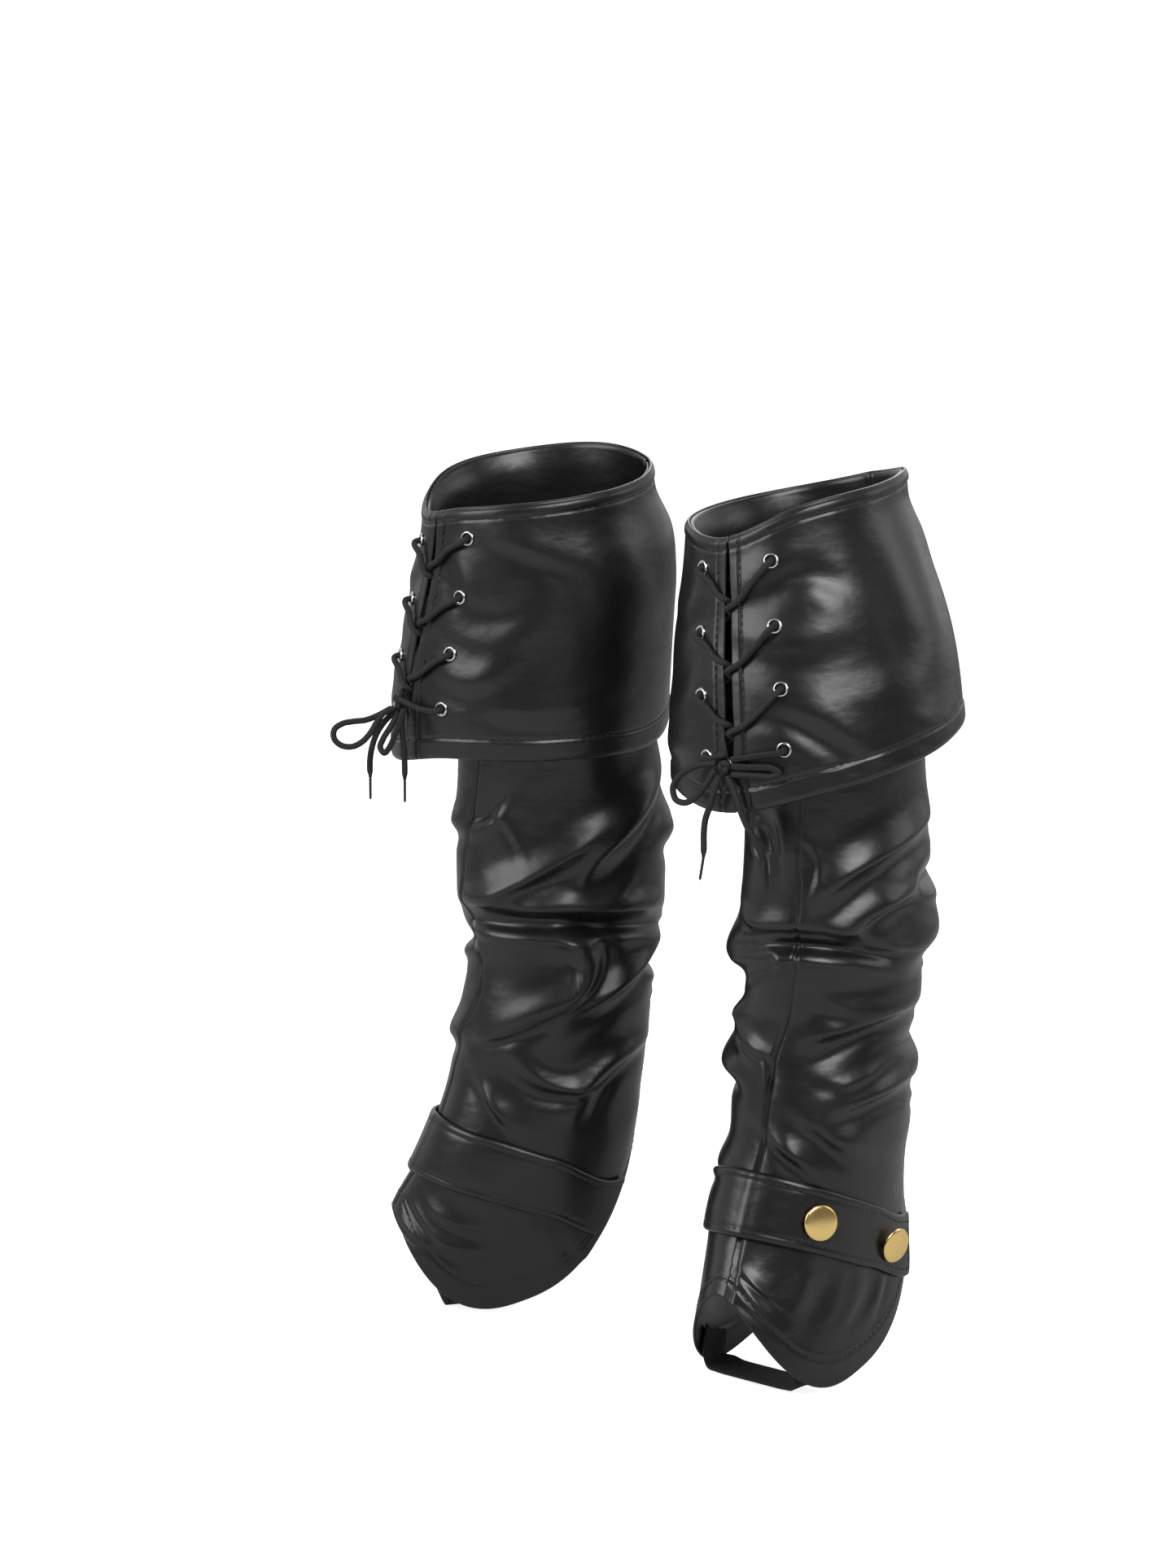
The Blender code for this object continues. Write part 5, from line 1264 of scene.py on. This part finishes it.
lace = Finish("black_braided_lace")
along, around = along_and_across(lace)
slants = [lace.maths(way, along * (TURN / BRAID_PITCH), around * (TURN * BRAID_YARNS))
          for way in ("ADD", "SUBTRACT")]
braid = lace.maths("SINE", slants[0]) * lace.maths("SINE", slants[1])
fluff = lace.noise(lace.place(), 2600.0, 2.0)
lace.dress(lace.between(braid + fluff * 0.6, 0.0, 1.0), (0.0065, 0.0065, 0.0070),
           (0.021, 0.020, 0.021), fluff, 0.62, 0.85, braid * 0.00016 + fluff * 0.00012)

thread = Finish("black_sewing_thread")
fuzz = thread.noise(thread.place(), 3000.0, 2.0)
thread.dress(fuzz, (0.008, 0.008, 0.008), (0.020, 0.019, 0.020), fuzz, 0.45, 0.70, fuzz * 0.00006)

elastic = Finish("black_ribbed_elastic")
along, across = along_and_across(elastic)
ribs = elastic.maths("SINE", across * (TURN / RIB_PITCH))
weft = elastic.maths("SINE", along * (TURN / WEFT_PITCH))
fuzz = elastic.noise(elastic.place(), 1500.0, 2.0)
elastic.dress(elastic.between(ribs * 0.5 + fuzz, 0.0, 1.0), (0.006, 0.006, 0.0065),
              (0.019, 0.019, 0.020), fuzz, 0.70, 0.92,
              ribs * 0.00022 + weft * ribs * 0.00008 + fuzz * 0.00008)

# %% [markdown]
# ## Metal and plastic
# The eyelets are bright nickel and the buttons are gold plated, both polished, with fine hairline
# scratches and a slightly duller film where fingers touch. The lace tips are shrunk plastic.

# %% Metal and plastic finishes


def polished(name, stretch, hairs, films, dark, light, share, smooth, rough, height):
    """Metal with hairline scratches, and a film that changes its colour and roughness."""
    metal = Finish(name, Metallic=1.0)
    hair = metal.noise(metal.place(stretch=(1, 1, stretch)), hairs, 3.0)
    film = metal.noise(metal.place(), films, 2.0)
    metal.dress(film, dark, light, hair * share + film * (1 - share), smooth, rough,
                hair * height)
    return metal


nickel = polished("polished_nickel", 12, 900.0, 160.0, (0.74, 0.73, 0.71), (0.84, 0.83, 0.81),
                  0.5, 0.10, 0.26, 0.000012)
gold = polished("polished_gold_plate", 14, 700.0, 120.0, (0.98, 0.66, 0.22), (1.0, 0.75, 0.31),
                0.4, 0.14, 0.32, 0.000010)
aglet = Finish("shrunk_black_plastic")
film = aglet.noise(aglet.place(), 1800.0, 2.0)
aglet.dress(film, (0.007, 0.007, 0.007), (0.015, 0.015, 0.016), film, 0.28, 0.45, film * 0.00005)

FINISHES = {"vinyl": vinyl, "elastic": elastic, "lace": lace, "aglet": aglet, "nickel": nickel,
            "gold": gold}
for name, piece in built.items():
    finish = thread if name.endswith("stitches") else FINISHES[SLOT_OF[name]]
    piece.data.materials.append(finish.material)
print("pieces:", len(built), "materials:", len(FINISHES) + 1)

# %% [markdown]
# ## Floor and light
# The picture was taken in a white studio: a pale floor, white walls at the sides and behind, and
# a dark room behind the camera. Black gloss shows nothing but its surroundings, so the world
# carries them: light at the sides and behind, nearly dark toward the camera. The camera itself
# sees plain white paper, while the leather sees a greyer floor. Soft round lights add the
# long highlights.

# %% Stage
WALL_LIGHT, ROOM_LIGHT = 0.72, 0.12      # strength of the world behind and beside, and in front
ROOM_START, ROOM_END = -0.65, 0.35       # cosine of the angle to the camera between which it fades
FLOOR_HALF = 30.0
LIGHT_AIM = -0.22                        # height that every light is aimed at
# Columns: name, azimuth, height, distance, size, watts
LIGHTS = (("key_softbox", -4, 0.9, 2.0, 1.6, 28), ("high_softbox", 82, 1.5, 1.9, 1.4, 42),
          ("side_softbox", 150, 0.8, 2.1, 1.2, 5), ("back_softbox", 228, 1.2, 2.1, 1.3, 11))

floor_mesh = bpy.data.meshes.new("studio_floor")
floor_mesh.from_pydata([(x * FLOOR_HALF, y * FLOOR_HALF, -HOLD_HEIGHT)
                        for x, y in ((-1, -1), (1, -1), (1, 1), (-1, 1))], [], [(0, 1, 2, 3)])
floor = bpy.data.objects.new("studio_floor", floor_mesh)
bpy.context.scene.collection.objects.link(floor)
paper = Finish("pale_paper", Roughness=0.9, Specular_IOR_Level=0.1, Emission_Strength=0.88)
soft = paper.noise(paper.place(), 3.0, 2.0)
seen = paper.node("ShaderNodeLightPath")
paper.feed("Base Color", paper.blend(seen, (0.56, 0.56, 0.56), (0.92, 0.92, 0.92)))
paper.feed("Emission Color", paper.blend(seen * (soft * 0.1 + 0.95), (0, 0, 0), (1, 1, 1)))
floor_mesh.materials.append(paper.material)

world = bpy.data.worlds.new("white_studio")
bpy.context.scene.world = world
world.use_nodes = True
sky = Graph(world.node_tree)
facing = sky.node("ShaderNodeVectorMath", {"operation": "DOT_PRODUCT"},
                  {0: sky.place(output=0), 1: (toward[0], toward[1], 0.0)}, 1)
glow = sky.node("ShaderNodeMapRange", {"interpolation_type": "SMOOTHSTEP"},
                {0: facing, 1: ROOM_START, 2: ROOM_END, 3: WALL_LIGHT, 4: ROOM_LIGHT})
strength = sky.maths("MAXIMUM", glow, sky.node("ShaderNodeLightPath"))
backdrop = sky.tree.nodes["Background"]
sky.tree.links.new(strength.socket, backdrop.inputs["Strength"])
backdrop.inputs["Color"].default_value = (1, 1, 1, 1)

for name, turned_by, height, distance, size, watts in LIGHTS:
    a = math.radians(turned_by)
    data = bpy.data.lights.new(name, "AREA")
    data.shape, data.size, data.energy = "DISK", size, watts
    light = bpy.data.objects.new(name, data)
    bpy.context.scene.collection.objects.link(light)
    light.location = np.array([math.sin(a) * distance, -math.cos(a) * distance, height])
    x, y, z = light.location[0], light.location[1], height - LIGHT_AIM
    light.rotation_euler = (math.atan2(math.hypot(x, y), z), 0, math.atan2(y, x) + math.pi / 2)
bpy.context.scene.view_settings.view_transform = "Standard"
print("lights:", len(LIGHTS))

# %% [markdown]
# ## The end
# A pattern cutter wants to know what each piece was before it was sewn; the area of each sheet's
# outer face is printed where the sheet is made. Last, the number of pieces shown over the solids
# is printed.

print("shown over the solids:", len(built))
